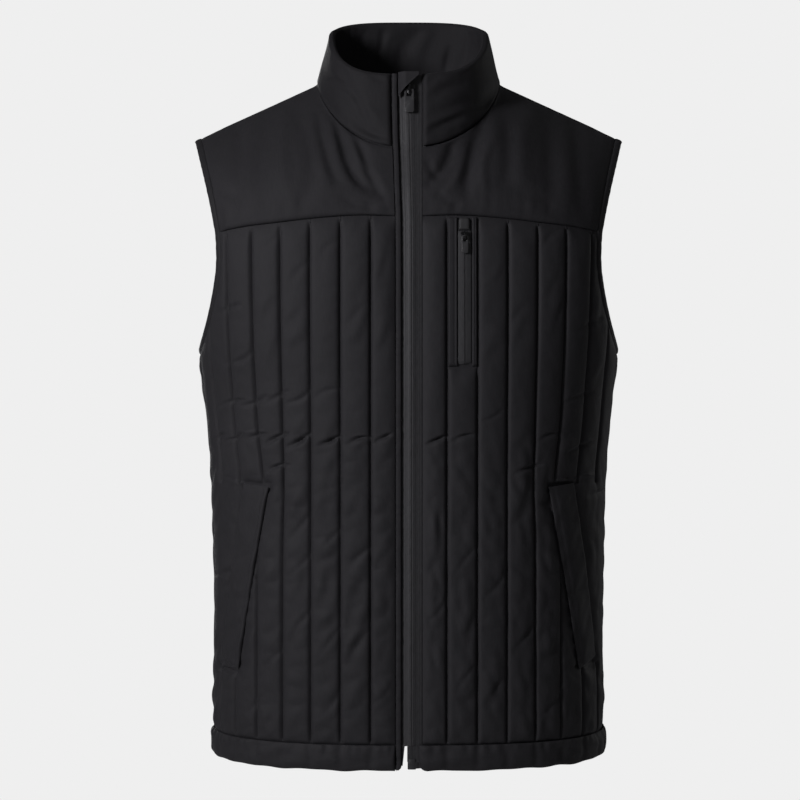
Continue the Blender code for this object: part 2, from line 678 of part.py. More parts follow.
def build_hardware(slider_name, pull_name, sizes, frame, seat):
    """Slider with its crown, and the pull tab that swings on a bar under the crown."""
    half = sizes.length / 2
    outline = [
        (-sizes.foot / 2, -half), (sizes.foot / 2, -half), (sizes.foot / 2, -half * 0.2),
        (sizes.shoulder / 2, half * 0.4), (sizes.shoulder / 2, half * 0.85), (sizes.shoulder / 2 * 0.7, half),
        (-sizes.shoulder / 2 * 0.7, half), (-sizes.shoulder / 2, half * 0.85), (-sizes.shoulder / 2, half * 0.4),
        (-sizes.foot / 2, -half * 0.2),
    ]
    slider = finish_object(slider_name, prism(outline, seat, seat + sizes.body, frame), "hardware")
    reach = half * 0.80
    bar = 0.0011
    crown = block(-0.0011, 0.0011, -reach, reach, seat + sizes.body - 0.0005, seat + sizes.crown, frame)
    combine(slider, crown, "UNION")
    tunnel = (-reach + bar, reach - bar, seat + sizes.body, seat + sizes.crown - bar)
    combine(slider, block(-0.004, 0.004, *tunnel, frame), "DIFFERENCE")
    axis = seat + sizes.axis_out
    thick = sizes.pull_thick / 2
    wide = sizes.pull_width / 2
    long = sizes.pull_length
    tab = [
        (-wide * 0.80, 0.00055), (wide * 0.80, 0.00055), (wide, -0.0006), (wide, -long + 0.0016),
        (wide * 0.72, -long), (-wide * 0.72, -long), (-wide, -long + 0.0016), (-wide, -0.0006),
    ]
    pull = finish_object(pull_name, prism(tab, axis - thick, axis + thick, frame), "hardware")
    window = (-0.0018, 0.0018, -(reach + bar + 0.0008), -0.00055)
    combine(pull, block(*window, axis - 0.004, axis + 0.004, frame), "DIFFERENCE")
    hinge = frame[0] + frame[3] * axis
    hinge += settle(hinge)
    pull.data.transform(Matrix.Translation(-hinge))
    pull.location = hinge
    return hinge


def raised_patch(name, corners, count_u, count_v, point, low, high, colour):
    """Piece that lies on a front: a patch between four (arc, height) corners, moved out from it."""
    share, rise = unit_grid(0, 1, count_u, 0, 1, count_v)
    (a, b), (c, d) = corners
    us = (a.arc * (1 - rise) + b.arc * rise) * (1 - share) + (c.arc * (1 - rise) + d.arc * rise) * share
    vs = (a.z * (1 - rise) + b.z * rise) * (1 - share) + (c.z * (1 - rise) + d.z * rise) * share
    base, normals = surface(point, us, vs, 1e-4, (0, 0, -0.4))
    wall(name + "_left", base, normals, high, low, colour)
    return base, normals


def build_hand_pockets():
    low = HAND_ZONE.level + 0.0007
    base, normals = raised_patch(
        "hand_pocket_welt", (WELT_INNER, WELT_OUTER), 6, 9, front_point, low, low + WELT_THICK, "quilt")
    wall("hand_pocket_welt_right", mirrored(base), mirrored(normals), low + WELT_THICK, low, "quilt")


def chest_strip(name, arcs, z_low, z_high, low, high, colour):
    us, vs = unit_grid(*arcs, 3, z_low, z_high, 7)
    base, normals = surface(front_point, us, vs, 1e-4, (0, 0, -0.4))
    wall(name, base, normals, high, low, colour)


def build_chest_pocket():
    """Zipped pocket between two stitch lines of the left front, its pieces side by side."""
    low = VALLEY + 0.0004
    chest_strip("chest_welt_inner", CHEST_INNER_WELT, *CHEST_Z, low, low + 0.0022, "quilt")
    chest_strip("chest_welt_outer", CHEST_OUTER_WELT, *CHEST_Z, low, low + 0.0022, "quilt")
    foot, top = CHEST_Z[0] + 0.002, CHEST_TAB_Z - SEAM_GAP
    chest_strip("chest_zip_tape_inner", CHEST_TAPES[:2], foot, top, low, low + 0.0010, "tape")
    chest_strip("chest_zip_tape_outer", CHEST_TAPES[2:], foot, top, low, low + 0.0010, "tape")
    tab = (CHEST_TAPES[0] + 0.001, CHEST_TAPES[3] - 0.002)
    chest_strip("chest_zip_tab", tab, CHEST_TAB_Z, CHEST_Z[1], low, low + 0.0026, "plain")
    arc = (CHEST_TAPES[1] + CHEST_TAPES[2]) / 2
    place = front_point(arc, CHEST_SLIDER_Z)
    across = (front_point(arc + 1e-3, CHEST_SLIDER_Z) - place).normalized()
    along = (front_point(arc, CHEST_SLIDER_Z + 0.012) - front_point(arc, CHEST_SLIDER_Z - 0.012)).normalized()
    out = across.cross(along)
    return build_hardware(
        "chest_slider", "chest_pull", CHEST_SLIDER, (place, across, along, out), low + 0.0014), across


clear_scene()
front_grid = build_fronts()
back_grid = build_back()
yoke_grids = build_yokes()
build_collar()
build_bindings(*front_grid, *back_grid, *yoke_grids)
build_hem()
build_front_zip()
build_garage()
front_hinge = build_hardware("zip_slider", "zip_pull", FRONT_SLIDER, front_frame(FRONT_SLIDER_Z, ZIP_X), 0.0)
build_hand_pockets()
chest_hinge, chest_axis = build_chest_pocket()
print("front pull hinge", tuple(round(v, 5) for v in front_hinge))
print("chest pull hinge", tuple(round(v, 5) for v in chest_hinge), tuple(round(v, 4) for v in chest_axis))
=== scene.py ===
import math
import bpy
import bmesh
import numpy as np
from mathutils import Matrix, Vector


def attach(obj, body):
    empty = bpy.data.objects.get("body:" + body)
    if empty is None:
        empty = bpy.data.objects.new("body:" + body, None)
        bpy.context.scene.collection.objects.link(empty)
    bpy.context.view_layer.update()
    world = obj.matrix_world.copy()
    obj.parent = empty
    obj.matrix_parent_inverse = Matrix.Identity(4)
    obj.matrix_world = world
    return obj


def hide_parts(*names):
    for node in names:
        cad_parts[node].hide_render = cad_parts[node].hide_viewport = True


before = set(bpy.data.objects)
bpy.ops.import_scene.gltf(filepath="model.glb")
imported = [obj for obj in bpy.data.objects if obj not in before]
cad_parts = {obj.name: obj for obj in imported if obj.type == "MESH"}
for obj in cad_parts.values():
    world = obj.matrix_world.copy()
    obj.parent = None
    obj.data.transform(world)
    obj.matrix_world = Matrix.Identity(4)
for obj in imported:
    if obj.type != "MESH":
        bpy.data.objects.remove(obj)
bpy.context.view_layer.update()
scene = bpy.context.scene
print("frame loaded:", len(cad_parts), "nodes")

# where the photograph was taken from; one pixel is one millimetre at the vest's middle
shot = {"eye": (-0.0085, -2.9, -0.25), "aim": (-0.0085, 0.0, -0.315), "lens": 130.5, "middle": (400.0, 335.0)}

# the body form that the cloth lies on: height, half width, front depth, back depth, squareness
form = {
    "rings": (
        (-0.665, 0.1935, 0.1290, 0.1180, 2.30), (-0.560, 0.1920, 0.1280, 0.1140, 2.28),
        (-0.460, 0.1930, 0.1270, 0.1100, 2.22), (-0.360, 0.1970, 0.1280, 0.1120, 2.15),
        (-0.300, 0.2030, 0.1290, 0.1160, 2.20), (-0.262, 0.2075, 0.1290, 0.1200, 2.40),
        (-0.200, 0.2100, 0.1260, 0.1240, 2.65), (-0.130, 0.2105, 0.1180, 0.1220, 2.80),
        (-0.060, 0.2105, 0.1080, 0.1160, 2.80)),
    "armhole": (  # height, half width at the front and at the back
        (-0.257, 0.2010, 0.2030), (-0.245, 0.1965, 0.1990), (-0.225, 0.1905, 0.1935), (-0.205, 0.1860, 0.1900),
        (-0.185, 0.1830, 0.1880), (-0.160, 0.1830, 0.1870), (-0.141, 0.1845, 0.1875), (-0.120, 0.1870, 0.1890)),
    "yokeSeam": (  # arc from the centre front, height
        (0.0130, -0.1362), (0.0470, -0.1354), (0.0860, -0.1378), (0.1265, -0.1420), (0.1610, -0.1455),
        (0.1980, -0.1510)),
    "hem": -0.665, "hemBand": 0.025, "underarm": -0.268, "sideSeamY": -0.020, "frontEdge": 0.0132,
    "seamLevel": -0.150, "seamGap": 0.0003, "wallIn": -0.0015,
    "zipLean": 0.0038, "leanFrom": -0.170, "leanTo": -0.010, "hemDip": 0.0030, "dipFrom": -0.450, "dipTo": -0.660,
}
# neck seam and collar top: half width, front, back, height at front, side and back, squareness, drop
neckSeam = (0.0885, 0.0980, 0.0660, -0.0690, 0.0000, -0.0060, 2.2, 1.25)
collarTop = (0.0752, 0.0850, 0.0550, 0.0030, 0.0515, 0.0675, 3.0, 0.85)
shoulder = {"tip": (0.2080, 0.0060, -0.0540), "neckShare": 0.40}
flipX = np.array([-1, 1, 1])


def floats(*values):
    return np.broadcast_arrays(*(np.asarray(v, dtype=float) for v in values))


def bell(place, width):
    return np.exp(-(place / width) ** 2)


def bulge(share):  # a quarter circle from 0 to 1
    return np.sqrt(1 - (1 - np.clip(share, 0, 1)) ** 2)


def ease(low, high, place):
    t = np.clip((np.asarray(place, dtype=float) - low) / (high - low), 0, 1)
    return t * t * (3 - 2 * t)


def through(place, knots, values):  # cubic curve through a table's points
    knots, values = np.asarray(knots, dtype=float), np.asarray(values, dtype=float)
    slopes = np.gradient(values, knots)
    i = np.clip(np.searchsorted(knots, place) - 1, 0, len(knots) - 2)
    span = knots[i + 1] - knots[i]
    t = (place - knots[i]) / span
    level = values[i] * (1 + 2 * t) * (1 - t) ** 2 + values[i + 1] * t * t * (3 - 2 * t)
    return level + span * (slopes[i] * t * (1 - t) ** 2 - slopes[i + 1] * t * t * (1 - t))


def unit(vectors):
    return vectors / np.maximum(np.linalg.norm(vectors, axis=-1, keepdims=True), 1e-12)


def blendRow(low, high, t):
    return low + (high - low) * t


# the form as a table: fine levels by share of the half ring's arc
levelStep = 0.0005
levels = np.arange(-0.673, -0.0595, levelStep)
turn = np.linspace(0, math.pi, 361)
ringKnots = np.array(form["rings"])
wide, ahead, behind, square = (through(levels, ringKnots[:, 0], ringKnots[:, k])[:, None] for k in (1, 2, 3, 4))
ringX = wide * np.abs(np.sin(turn)) ** (2 / square)
ringY = np.where(turn < math.pi / 2, -ahead, behind) * np.abs(np.cos(turn)) ** (2 / square)
ringSteps = np.hypot(np.diff(ringX), np.diff(ringY))
ringArc = np.concatenate([np.zeros((len(levels), 1)), np.cumsum(ringSteps, axis=1)], axis=1)
wholeArc = ringArc[:, -1]
shares = np.linspace(0, 1, 481)
formX = np.array([np.interp(shares * w, a, x) for w, a, x in zip(wholeArc, ringArc, ringX)])
formY = np.array([np.interp(shares * w, a, y) for w, a, y in zip(wholeArc, ringArc, ringY)])
sideArc = np.array([np.interp(form["sideSeamY"], y[:181], a[:181]) for y, a in zip(ringY, ringArc)])
lowest = int(np.argmin(np.abs(levels - form["underarm"])))
trimKnots = np.array(form["armhole"])
trimZ = np.concatenate([[form["underarm"]], trimKnots[:, 0]])
sideX = np.interp(form["sideSeamY"], ringY[lowest, :181], ringX[lowest, :181])
frontTrim, backTrim = (through(levels, trimZ, np.concatenate([[sideX], trimKnots[:, k]])) for k in (1, 2))
frontArc = np.array([min(s, np.interp(t, x[:181], a[:181])) for s, t, x, a in zip(sideArc, frontTrim, ringX, ringArc)])
backArc = np.array([max(s, np.interp(-t, -x[180:], a[180:])) for s, t, x, a in zip(sideArc, backTrim, ringX, ringArc)])
under = levels <= form["underarm"]
frontArc[under], backArc[under] = sideArc[under], sideArc[under]


def lookUp(table, z, share):
    a = np.clip((z - levels[0]) / levelStep, 0, len(levels) - 1.001)
    b = np.clip(share * (table.shape[1] - 1), 0, table.shape[1] - 1.001)
    i, j = a.astype(int), b.astype(int)
    a, b = a - i, b - j
    low = table[i, j] * (1 - b) + table[i, j + 1] * b
    return low * (1 - a) + (table[i + 1, j] * (1 - b) + table[i + 1, j + 1] * b) * a


def formPoint(arc, z, share):
    return np.stack([lookUp(formX, z, share) * np.where(arc < 0, -1, 1), lookUp(formY, z, share), z], axis=-1)


def frontPoint(arc, z):
    arc, z = floats(arc, z)
    return formPoint(arc, z, np.abs(arc / np.interp(z, levels, wholeArc)))


def backPoint(arc, z):  # the arc runs from the centre back, with a sign for the side
    arc, z = floats(arc, z)
    return formPoint(arc, z, 1 - np.abs(arc) / np.interp(z, levels, wholeArc))


def frontEdgeArc(z):
    return np.interp(z, levels, frontArc) - form["seamGap"] / 2


def backEdgeArc(z):
    return np.interp(z, levels, wholeArc - backArc) - form["seamGap"] / 2


seamKnots = np.array(form["yokeSeam"])


def yokeSeamZ(arc):
    return through(arc, seamKnots[:, 0], seamKnots[:, 1])


frontCorner = 0.19
for step in range(20):
    frontCorner = float(frontEdgeArc(yokeSeamZ(frontCorner)))


def ringPoint(ring, turns):  # 0 at the centre front, 1 at the centre back, 2 back at the front by the other side
    turns = np.asarray(turns, dtype=float)
    side = np.where(turns <= 1, 1, -1)
    angle = math.pi * np.where(turns <= 1, turns, 2 - turns)
    halfWidth, front, back, zFront, zSide, zBack, squareness, drop = ring
    cosine = np.abs(np.cos(angle))
    inFront = angle < math.pi / 2
    y = np.where(inFront, -front, back) * cosine ** (2 / squareness)
    z = zSide + (np.where(inFront, zFront, zBack) - zSide) * cosine ** drop
    return np.stack([side * halfWidth * np.abs(np.sin(angle)) ** (2 / squareness), y, z], axis=-1)


def edgeTurn(ring):
    return math.asin((form["frontEdge"] / ring[0]) ** (ring[6] / 2)) / math.pi


def arch(foot, head, way, rise):  # leaves the foot upright and reaches the head along way
    reach = 0.38 * np.linalg.norm(head - foot, axis=-1)
    lean = (head[..., 0] - foot[..., 0]) / 3
    first = foot + np.stack([lean, np.zeros_like(lean), reach], axis=-1)
    second = head - way * reach[..., None]
    second[..., 0] = head[..., 0] - lean
    b = rise[..., None]
    a = 1 - b
    return foot * a ** 3 + first * (3 * a * a * b) + second * (3 * a * b * b) + head * b ** 3


def yokeHead(share, back):
    start = 1.0 if back else edgeTurn(neckSeam)
    t = np.clip(share / shoulder["neckShare"], 0, 1)
    neck = ringPoint(neckSeam, start + (0.5 - start) * t)
    t = np.clip((share - shoulder["neckShare"]) / (1 - shoulder["neckShare"]), 0, 1)[..., None]
    ridge = ringPoint(neckSeam, 0.5) * (1 - t) + np.array(shoulder["tip"]) * t
    return np.where((share <= shoulder["neckShare"])[..., None], neck, ridge)


def headWay(share, back):
    t = np.clip(share / shoulder["neckShare"], 0, 1)
    steep, flat = (60, 14) if back else (70, 30)
    lift = np.radians(steep + (flat - steep) * t ** 1.2)
    return np.stack([np.zeros_like(lift), (-1 if back else 1) * np.cos(lift), np.sin(lift)], axis=-1)


def frontYokePoint(share, rise):
    share, rise = floats(share, rise)
    arc = form["frontEdge"] + (frontCorner - form["frontEdge"]) * share
    return arch(frontPoint(arc, yokeSeamZ(arc)), yokeHead(share, False), headWay(share, False), rise)


def backYokePoint(share, rise):
    share, rise = floats(share, rise)
    size = np.abs(share)
    foot = backPoint(size * backEdgeArc(form["seamLevel"]), np.full_like(size, form["seamLevel"]))
    point = arch(foot, yokeHead(size, True), headWay(size, True), rise)
    point[..., 0] *= np.where(share < 0, -1, 1)
    return point


def collarPoint(share, rise):  # from the left end round the back to the right end
    share, rise = floats(share, rise)
    ends = []
    for ring in (neckSeam, collarTop):
        start = edgeTurn(ring)
        ends.append(ringPoint(ring, start + (2 - 2 * start) * share))
    return ends[0] * (1 - rise[..., None]) + ends[1] * rise[..., None]


def surfaceFrame(point, u, v, stepU=0.0015, stepV=0.0015, centre=(0, 0, -0.4)):
    base = point(u, v)
    normal = unit(np.cross(point(u + stepU, v) - point(u - stepU, v), point(u, v + stepV) - point(u, v - stepV)))
    if np.sum(normal * (base - np.array(centre))) < 0:
        normal = -normal
    return base, normal


def settle(points):  # the zip leans at its top and the hem dips at the front
    x, y, z = points[..., 0], points[..., 1], points[..., 2]
    across = ease(form["frontEdge"], -0.004, x) * (1 - ease(-0.020, -0.085, x))
    moved = points.copy()
    moved[..., 0] -= form["zipLean"] * ease(form["leanFrom"], form["leanTo"], z) * across
    moved[..., 2] -= form["hemDip"] * ease(form["dipFrom"], form["dipTo"], z) * ease(0.020, -0.125, y)
    return moved


def asSeen(points):  # pixels of the photograph
    near = -shot["eye"][1] / (points[..., 1] - shot["eye"][1])
    return np.stack([
        shot["middle"][0] + 1000 * (points[..., 0] - shot["eye"][0]) * near,
        shot["middle"][1] - 1000 * (points[..., 2] - shot["eye"][2]) * near], axis=-1)


# troughs and ridges, each from one seen point to another: width, and height in mm
def creases(points, table, steep=1.0):
    seen = asSeen(points)
    total = np.zeros(points.shape[:-1])
    for x1, y1, x2, y2, width, height in table:
        start, run = np.array([x1, y1]), np.array([x2 - x1, y2 - y1], dtype=float)
        t = np.clip(((seen - start) @ run) / (run @ run), 0, 1)
        bow = 0.12 * np.linalg.norm(run) * np.sin(math.pi * t) * math.sin(x1 * 1.7 + y2)
        above = unit(np.array([run[1], -run[0]])) * (1 if run[0] >= 0 else -1)
        off = seen - (start + t[..., None] * run) - bow[..., None] * above
        q = np.linalg.norm(off, axis=-1) / width
        q = np.where(off @ above > 0, q / steep, q)
        if steep == 1:
            swell = np.sin(math.pi * np.clip(t, 0.02, 0.98)) ** 0.7
        else:
            swell = np.sin(math.pi * np.clip(t, 0, 0.9) ** 1.6)
        total += 0.001 * height * np.exp(-q * q) * (1 - 0.45 * q * q) * (0.35 + 0.65 * swell)
    return total


def ripples(u, v, seed, count, short, long, lean, spread):  # waves of fixed random lengths and ways
    chance = np.random.default_rng(seed)
    total = np.zeros(np.broadcast(u, v).shape)
    for k in range(count):
        wave = chance.uniform(short, long)
        angle = math.radians(lean + chance.normal(0, spread))
        phase = chance.uniform(0, 6.283)
        total += np.sin(6.283 * (u * math.cos(angle) + v * math.sin(angle)) / wave + phase)
    return total / math.sqrt(count)


def addObject(name, data):
    made = bpy.data.objects.new(name, data)
    scene.collection.objects.link(made)
    return made


# meshes
def finishPiece(name, verts, faces, uvs, material, sharp=55):
    mesh = bpy.data.meshes.new(name)
    mesh.from_pydata(settle(np.asarray(verts)).tolist(), [], faces)
    layer = mesh.uv_layers.new(name="cloth")
    loops = np.empty(len(mesh.loops), dtype=np.int32)
    mesh.loops.foreach_get("vertex_index", loops)
    layer.data.foreach_set("uv", np.asarray(uvs, dtype=np.float32)[loops].ravel())
    bm = bmesh.new()
    bm.from_mesh(mesh)
    bmesh.ops.remove_doubles(bm, verts=bm.verts, dist=0.00002)
    bmesh.ops.dissolve_degenerate(bm, edges=bm.edges, dist=0.00001)
    bmesh.ops.recalc_face_normals(bm, faces=bm.faces)
    bm.to_mesh(mesh)
    bm.free()
    mesh.shade_smooth()
    mesh.set_sharp_from_angle(angle=math.radians(sharp))
    mesh.materials.append(material)
    return addObject(name, mesh)


def shell(name, outer, inner, uv, material):  # closed wall of two skins with a rim round their edge
    rows, cols = outer.shape[:2]
    count = rows * cols
    index = np.arange(count).reshape(rows, cols)
    quads = np.stack([index[:-1, :-1], index[:-1, 1:], index[1:, 1:], index[1:, :-1]], axis=-1).reshape(-1, 4)
    border = np.concatenate([index[0, :], index[1:, -1], index[-1, -2::-1], index[-2:0:-1, 0]])
    after = np.roll(border, -1)
    rim = np.stack([border, border + count, after + count, after], axis=-1)
    faces = np.concatenate([quads, quads[:, ::-1] + count, rim]).tolist()
    verts = np.concatenate([outer.reshape(-1, 3), inner.reshape(-1, 3)])
    return finishPiece(name, verts, faces, np.concatenate([uv.reshape(-1, 2)] * 2), material)


# profile of (across, out) points at each station
def sweep(name, centres, across, out, profile, closed, material, sharp=55):
    profile = np.broadcast_to(profile, (len(centres),) + np.shape(profile)[-2:])
    verts = centres[:, None] + across[:, None] * profile[..., :1] + out[:, None] * profile[..., 1:]
    count, points = verts.shape[:2]
    index = np.arange(count * points).reshape(count, points)
    if closed:
        index = np.concatenate([index, index[:1]])
    one, two = index[:-1], index[1:]
    faces = np.stack([one, np.roll(one, -1, axis=1), np.roll(two, -1, axis=1), two], axis=-1).reshape(-1, 4).tolist()
    if not closed:
        faces += [index[0].tolist(), index[-1].tolist()]
    along = np.concatenate([[0], np.cumsum(np.linalg.norm(np.diff(centres, axis=0), axis=1))])
    girth = np.concatenate([[0], np.cumsum(np.linalg.norm(np.diff(profile[0], axis=0), axis=1))])
    uv = np.stack(np.broadcast_arrays(girth[None, :], along[:, None]), axis=-1)
    return finishPiece(name, verts.reshape(-1, 3), faces, uv.reshape(-1, 2), material, sharp)


def oval(lowA, highA, lowB, highB, count, squareness):
    angle = 2 * math.pi * (np.arange(count) + 0.5) / count
    c, s = np.cos(angle), np.sin(angle)
    a = np.sign(c) * np.abs(c) ** (2 / squareness)
    b = np.sign(s) * np.abs(s) ** (2 / squareness)
    return np.stack([(lowA + highA) / 2 + a * (highA - lowA) / 2, (lowB + highB) / 2 + b * (highB - lowB) / 2], axis=-1)


# shader maths on sockets
class Wire:
    def __init__(self, tree, socket=None):
        self.tree, self.socket = tree, socket

    def make(self, kind, settings=None, out=0, **links):
        node = self.tree.nodes.new(kind)
        for key, value in (settings or {}).items():
            setattr(node, key, value)
        for key, value in links.items():
            found = [s for s in node.inputs if s.identifier == key or s.name.replace(" ", "") == key]
            self.feed(found[0], value)
        if isinstance(out, str):
            return Wire(self.tree, next(s for s in node.outputs if out in (s.identifier, s.name)))
        return Wire(self.tree, node.outputs[out])

    def feed(self, socket, value):
        if isinstance(value, Wire):
            self.tree.links.new(value.socket, socket)
        else:
            socket.default_value = value

    def work(self, operation, first, second=0.0):
        return self.make("ShaderNodeMath", {"operation": operation}, Value=first, Value_001=second)

    def __add__(self, other):
        return self.work("ADD", self, other)

    def __sub__(self, other):
        return self.work("SUBTRACT", self, other)

    def __rsub__(self, other):
        return self.work("SUBTRACT", other, self)

    def __mul__(self, other):
        return self.work("MULTIPLY", self, other)

    def noise(self, place, scale, **more):
        return self.make("ShaderNodeTexNoise", out="Fac", Vector=place, Scale=scale, **more)

    def mix(self, factor, dark, pale):
        return self.make("ShaderNodeMix", {"data_type": "RGBA"}, out="Result_Color", Factor_Float=factor,
                         A_Color=dark + (1,), B_Color=pale + (1,))

    __radd__ = __add__
    __rmul__ = __mul__


def startMaterial(name, **constants):
    material = bpy.data.materials.new(name)
    material.use_nodes = True
    tree = material.node_tree
    shader = tree.nodes["Principled BSDF"]
    for key, value in constants.items():
        found = [s for s in shader.inputs if s.name.replace(" ", "") == key]
        found[0].default_value = value
    return material, Wire(tree), shader


def clothMaterial(name, look):
    material, wire, shader = startMaterial(
        name, SpecularIORLevel=look["gloss"], SheenWeight=look["sheen"], SheenRoughness=0.45,
        SheenTint=(0.75, 0.74, 0.82, 1))
    uv = wire.make("ShaderNodeUVMap", {"uv_map": "cloth"}, out="UV")
    place = wire.make("ShaderNodeTexCoord", out="Object")
    u = wire.make("ShaderNodeSeparateXYZ", out="X", Vector=uv)
    v = wire.make("ShaderNodeSeparateXYZ", out="Y", Vector=uv)
    warp = wire.work("SINE", u * (math.pi / look["thread"]))
    weft = wire.work("SINE", v * (math.pi / look["thread"]))
    weave = warp * weft * 0.5 + 0.5
    stretched = wire.make("ShaderNodeMapping", Vector=uv, Scale=(1.0, 0.12, 1.0))
    slub = wire.noise(stretched, 1 / (look["thread"] * 3), Detail=2.0, Roughness=0.6)
    mottle = wire.noise(place, look["mottle"], Detail=3.0, Roughness=0.55)
    patch = wire.noise(place, 11.0, Detail=2.0)
    shade = weave * 0.30 + slub * 0.40 + mottle * 0.45 + patch * 0.35 - 0.25
    tone = wire.mix(shade, look["dark"], look["pale"])
    wire.feed(shader.inputs["Base Color"], tone)
    wire.feed(shader.inputs["Roughness"], look["rough"] + (mottle - 0.5) * 0.16 + (0.5 - weave) * 0.10)
    bump = wire.make("ShaderNodeBump", Strength=look["bump"], Distance=0.00022, Height=weave * 0.55 + slub * 0.45)
    bump = wire.make("ShaderNodeBump", Strength=look["bump"] * 0.55, Distance=0.0009, Height=mottle, Normal=bump)
    wire.feed(shader.inputs["Normal"], bump)
    return material


def enamelMaterial(name, look):
    material, wire, shader = startMaterial(name, SpecularIORLevel=0.55, CoatRoughness=0.12)
    place = wire.make("ShaderNodeTexCoord", out="Object")
    grain = wire.noise(place, 900.0, Detail=2.0)
    scuff = wire.noise(place, 210.0, Detail=4.0, Roughness=0.65)
    worn = wire.make("ShaderNodeMapRange", Value=scuff, FromMin=0.52, FromMax=0.72)
    tone = wire.mix(worn, look["dark"], look["pale"])
    wire.feed(shader.inputs["Base Color"], tone)
    wire.feed(shader.inputs["Roughness"], look["rough"] + worn * 0.18 + (grain - 0.5) * 0.08)
    wire.feed(shader.inputs["Coat Weight"], 0.5 - worn * 0.35)
    wire.feed(shader.inputs["Normal"], wire.make("ShaderNodeBump", Strength=0.25, Distance=0.00006, Height=grain))
    return material


finishes = {
    "quilted": {"dark": (0.021, 0.0205, 0.0230), "pale": (0.047, 0.0455, 0.0500), "thread": 0.00040, "mottle": 150.0,
                "rough": 0.68, "gloss": 0.30, "sheen": 0.04, "bump": 0.55},
    "plain": {"dark": (0.0212, 0.0206, 0.0230), "pale": (0.0466, 0.0450, 0.0495), "thread": 0.00042, "mottle": 170.0,
              "rough": 0.72, "gloss": 0.25, "sheen": 0.03, "bump": 0.55},
    # collar: the plain cloth again with darker colours, painted shade for the shade the collar stands in
    "collar": {"dark": (0.0160, 0.0155, 0.0172), "pale": (0.0352, 0.0340, 0.0374), "thread": 0.00042, "mottle": 170.0,
               "rough": 0.72, "gloss": 0.25, "sheen": 0.03, "bump": 0.55},
    "binding": {"dark": (0.017, 0.0165, 0.0180), "pale": (0.038, 0.0370, 0.0400), "thread": 0.00050, "mottle": 190.0,
                "rough": 0.68, "gloss": 0.30, "sheen": 0.05, "bump": 0.65},
    "tape": {"dark": (0.030, 0.0298, 0.0318), "pale": (0.076, 0.0752, 0.0800), "thread": 0.00060, "mottle": 260.0,
             "rough": 0.56, "gloss": 0.42, "sheen": 0.08, "bump": 0.75},
    "tab": {"dark": (0.032, 0.0318, 0.0330), "pale": (0.066, 0.0655, 0.0680), "thread": 0.00044, "mottle": 240.0,
            "rough": 0.58, "gloss": 0.38, "sheen": 0.06, "bump": 0.55},
    "thread": {"dark": (0.016, 0.0155, 0.0170), "pale": (0.040, 0.0390, 0.0420), "thread": 0.00030, "mottle": 300.0,
               "rough": 0.50, "gloss": 0.45, "sheen": 0.0, "bump": 0.40},
}
names = ("quilted", "plain", "binding", "tape", "thread", "tab", "collar")
quilted, plain, binding, tape, thread, tabCloth, collarShadedCloth = (clothMaterial(k + "Cloth", finishes[k]) for k in names)
enamel = enamelMaterial("blackEnamel", {"dark": (0.008, 0.008, 0.009), "pale": (0.050, 0.050, 0.053), "rough": 0.16})
satin = enamelMaterial("satinEnamel", {"dark": (0.050, 0.050, 0.053), "pale": (0.085, 0.085, 0.088), "rough": 0.38})
print("materials made")


def dress(piece, slot, *nodes, body="vest"):
    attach(piece, body)
    if nodes:
        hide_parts(*nodes)
    return piece


# quilted panels: the face cloth is cut larger than its backing, sewn down on the lines, and fills out between them
quilt = {
    "first": 0.0365, "pitch": 0.0293, "perChannel": 14, "rowStep": 0.0015, "backPerChannel": 9, "backRowStep": 0.0027,
    "edge": 0.0009, "sewn": 0.0024, "puff": 0.0013, "groove": 0.0027, "grooveWidth": 0.0014,
    "spareAcross": 0.009, "spareAlong": 0.030, "push": 0.000012, "steps": 150, "highest": 0.0066,
    "squeeze": 0.0075, "tuck": 0.0020, "facet": 0.0034, "facetLean": 56, "crush": 0.0010, "fold": 1.25, "pit": -0.0012,
    "hemLevel": -0.0006, "hemRoll": 0.0034,
    "chestZone": (0.0368, 0.0655, -0.2835), "handLevel": 0.0014, "mouthLevel": -0.0002,
    "weltInner": ((0.1390, -0.3970), (0.1775, -0.5745)), "weltOuter": ((0.1700, -0.3940), (0.2070, -0.5650)),
}
rightCreases = [  # the front on the left of the photograph: a row of hollows at the waist, then smaller ones
    (219, 438, 226, 433, 2.8, -3.0), (232, 439, 243, 433, 2.8, -3.0), (252, 438, 265, 433, 3.0, -2.8),
    (268, 444, 286, 433, 3.4, -3.6), (290, 446, 309, 434, 3.6, -4.4), (322, 444, 339, 436, 3.4, -4.2),
    (350, 443, 369, 437, 3.4, -3.2), (376, 441, 394, 432, 3.6, -3.0), (246, 433, 262, 430, 3.0, 1.2),
    (224, 405, 243, 399, 3.0, -2.6), (246, 405, 266, 396, 3.2, -2.6), (269, 402, 287, 391, 3.4, -2.2),
    (291, 402, 310, 390, 3.6, -2.0), (316, 398, 338, 388, 4.0, -1.2), (271, 470, 287, 464, 3.2, -3.2),
    (222, 312, 240, 304, 3.2, -2.4), (228, 362, 252, 352, 3.4, -2.2), (214, 575, 236, 565, 3.4, -2.4),
    (292, 537, 309, 515, 3.6, -1.8), (322, 550, 339, 530, 3.6, -1.5), (290, 575, 309, 556, 3.4, -1.5),
    (348, 573, 368, 548, 3.8, -1.5), (292, 640, 309, 612, 3.8, -1.6), (318, 655, 339, 628, 3.8, -1.6),
    (348, 660, 368, 630, 3.8, -1.4), (262, 676, 282, 650, 3.6, -1.4), (318, 715, 338, 690, 3.8, -1.3),
    (374, 700, 393, 676, 3.6, -1.2), (246, 716, 262, 694, 3.6, -1.5), (344, 330, 364, 304, 5, -0.8),
    (290, 290, 308, 262, 5, -0.8), (318, 262, 338, 240, 5, -0.7), (262, 250, 282, 226, 5, -0.8),
    (228, 478, 246, 483, 3.2, 1.6), (246, 483, 272, 484, 3.2, 1.6), (224, 664, 241, 674, 2.4, -2.2),
]
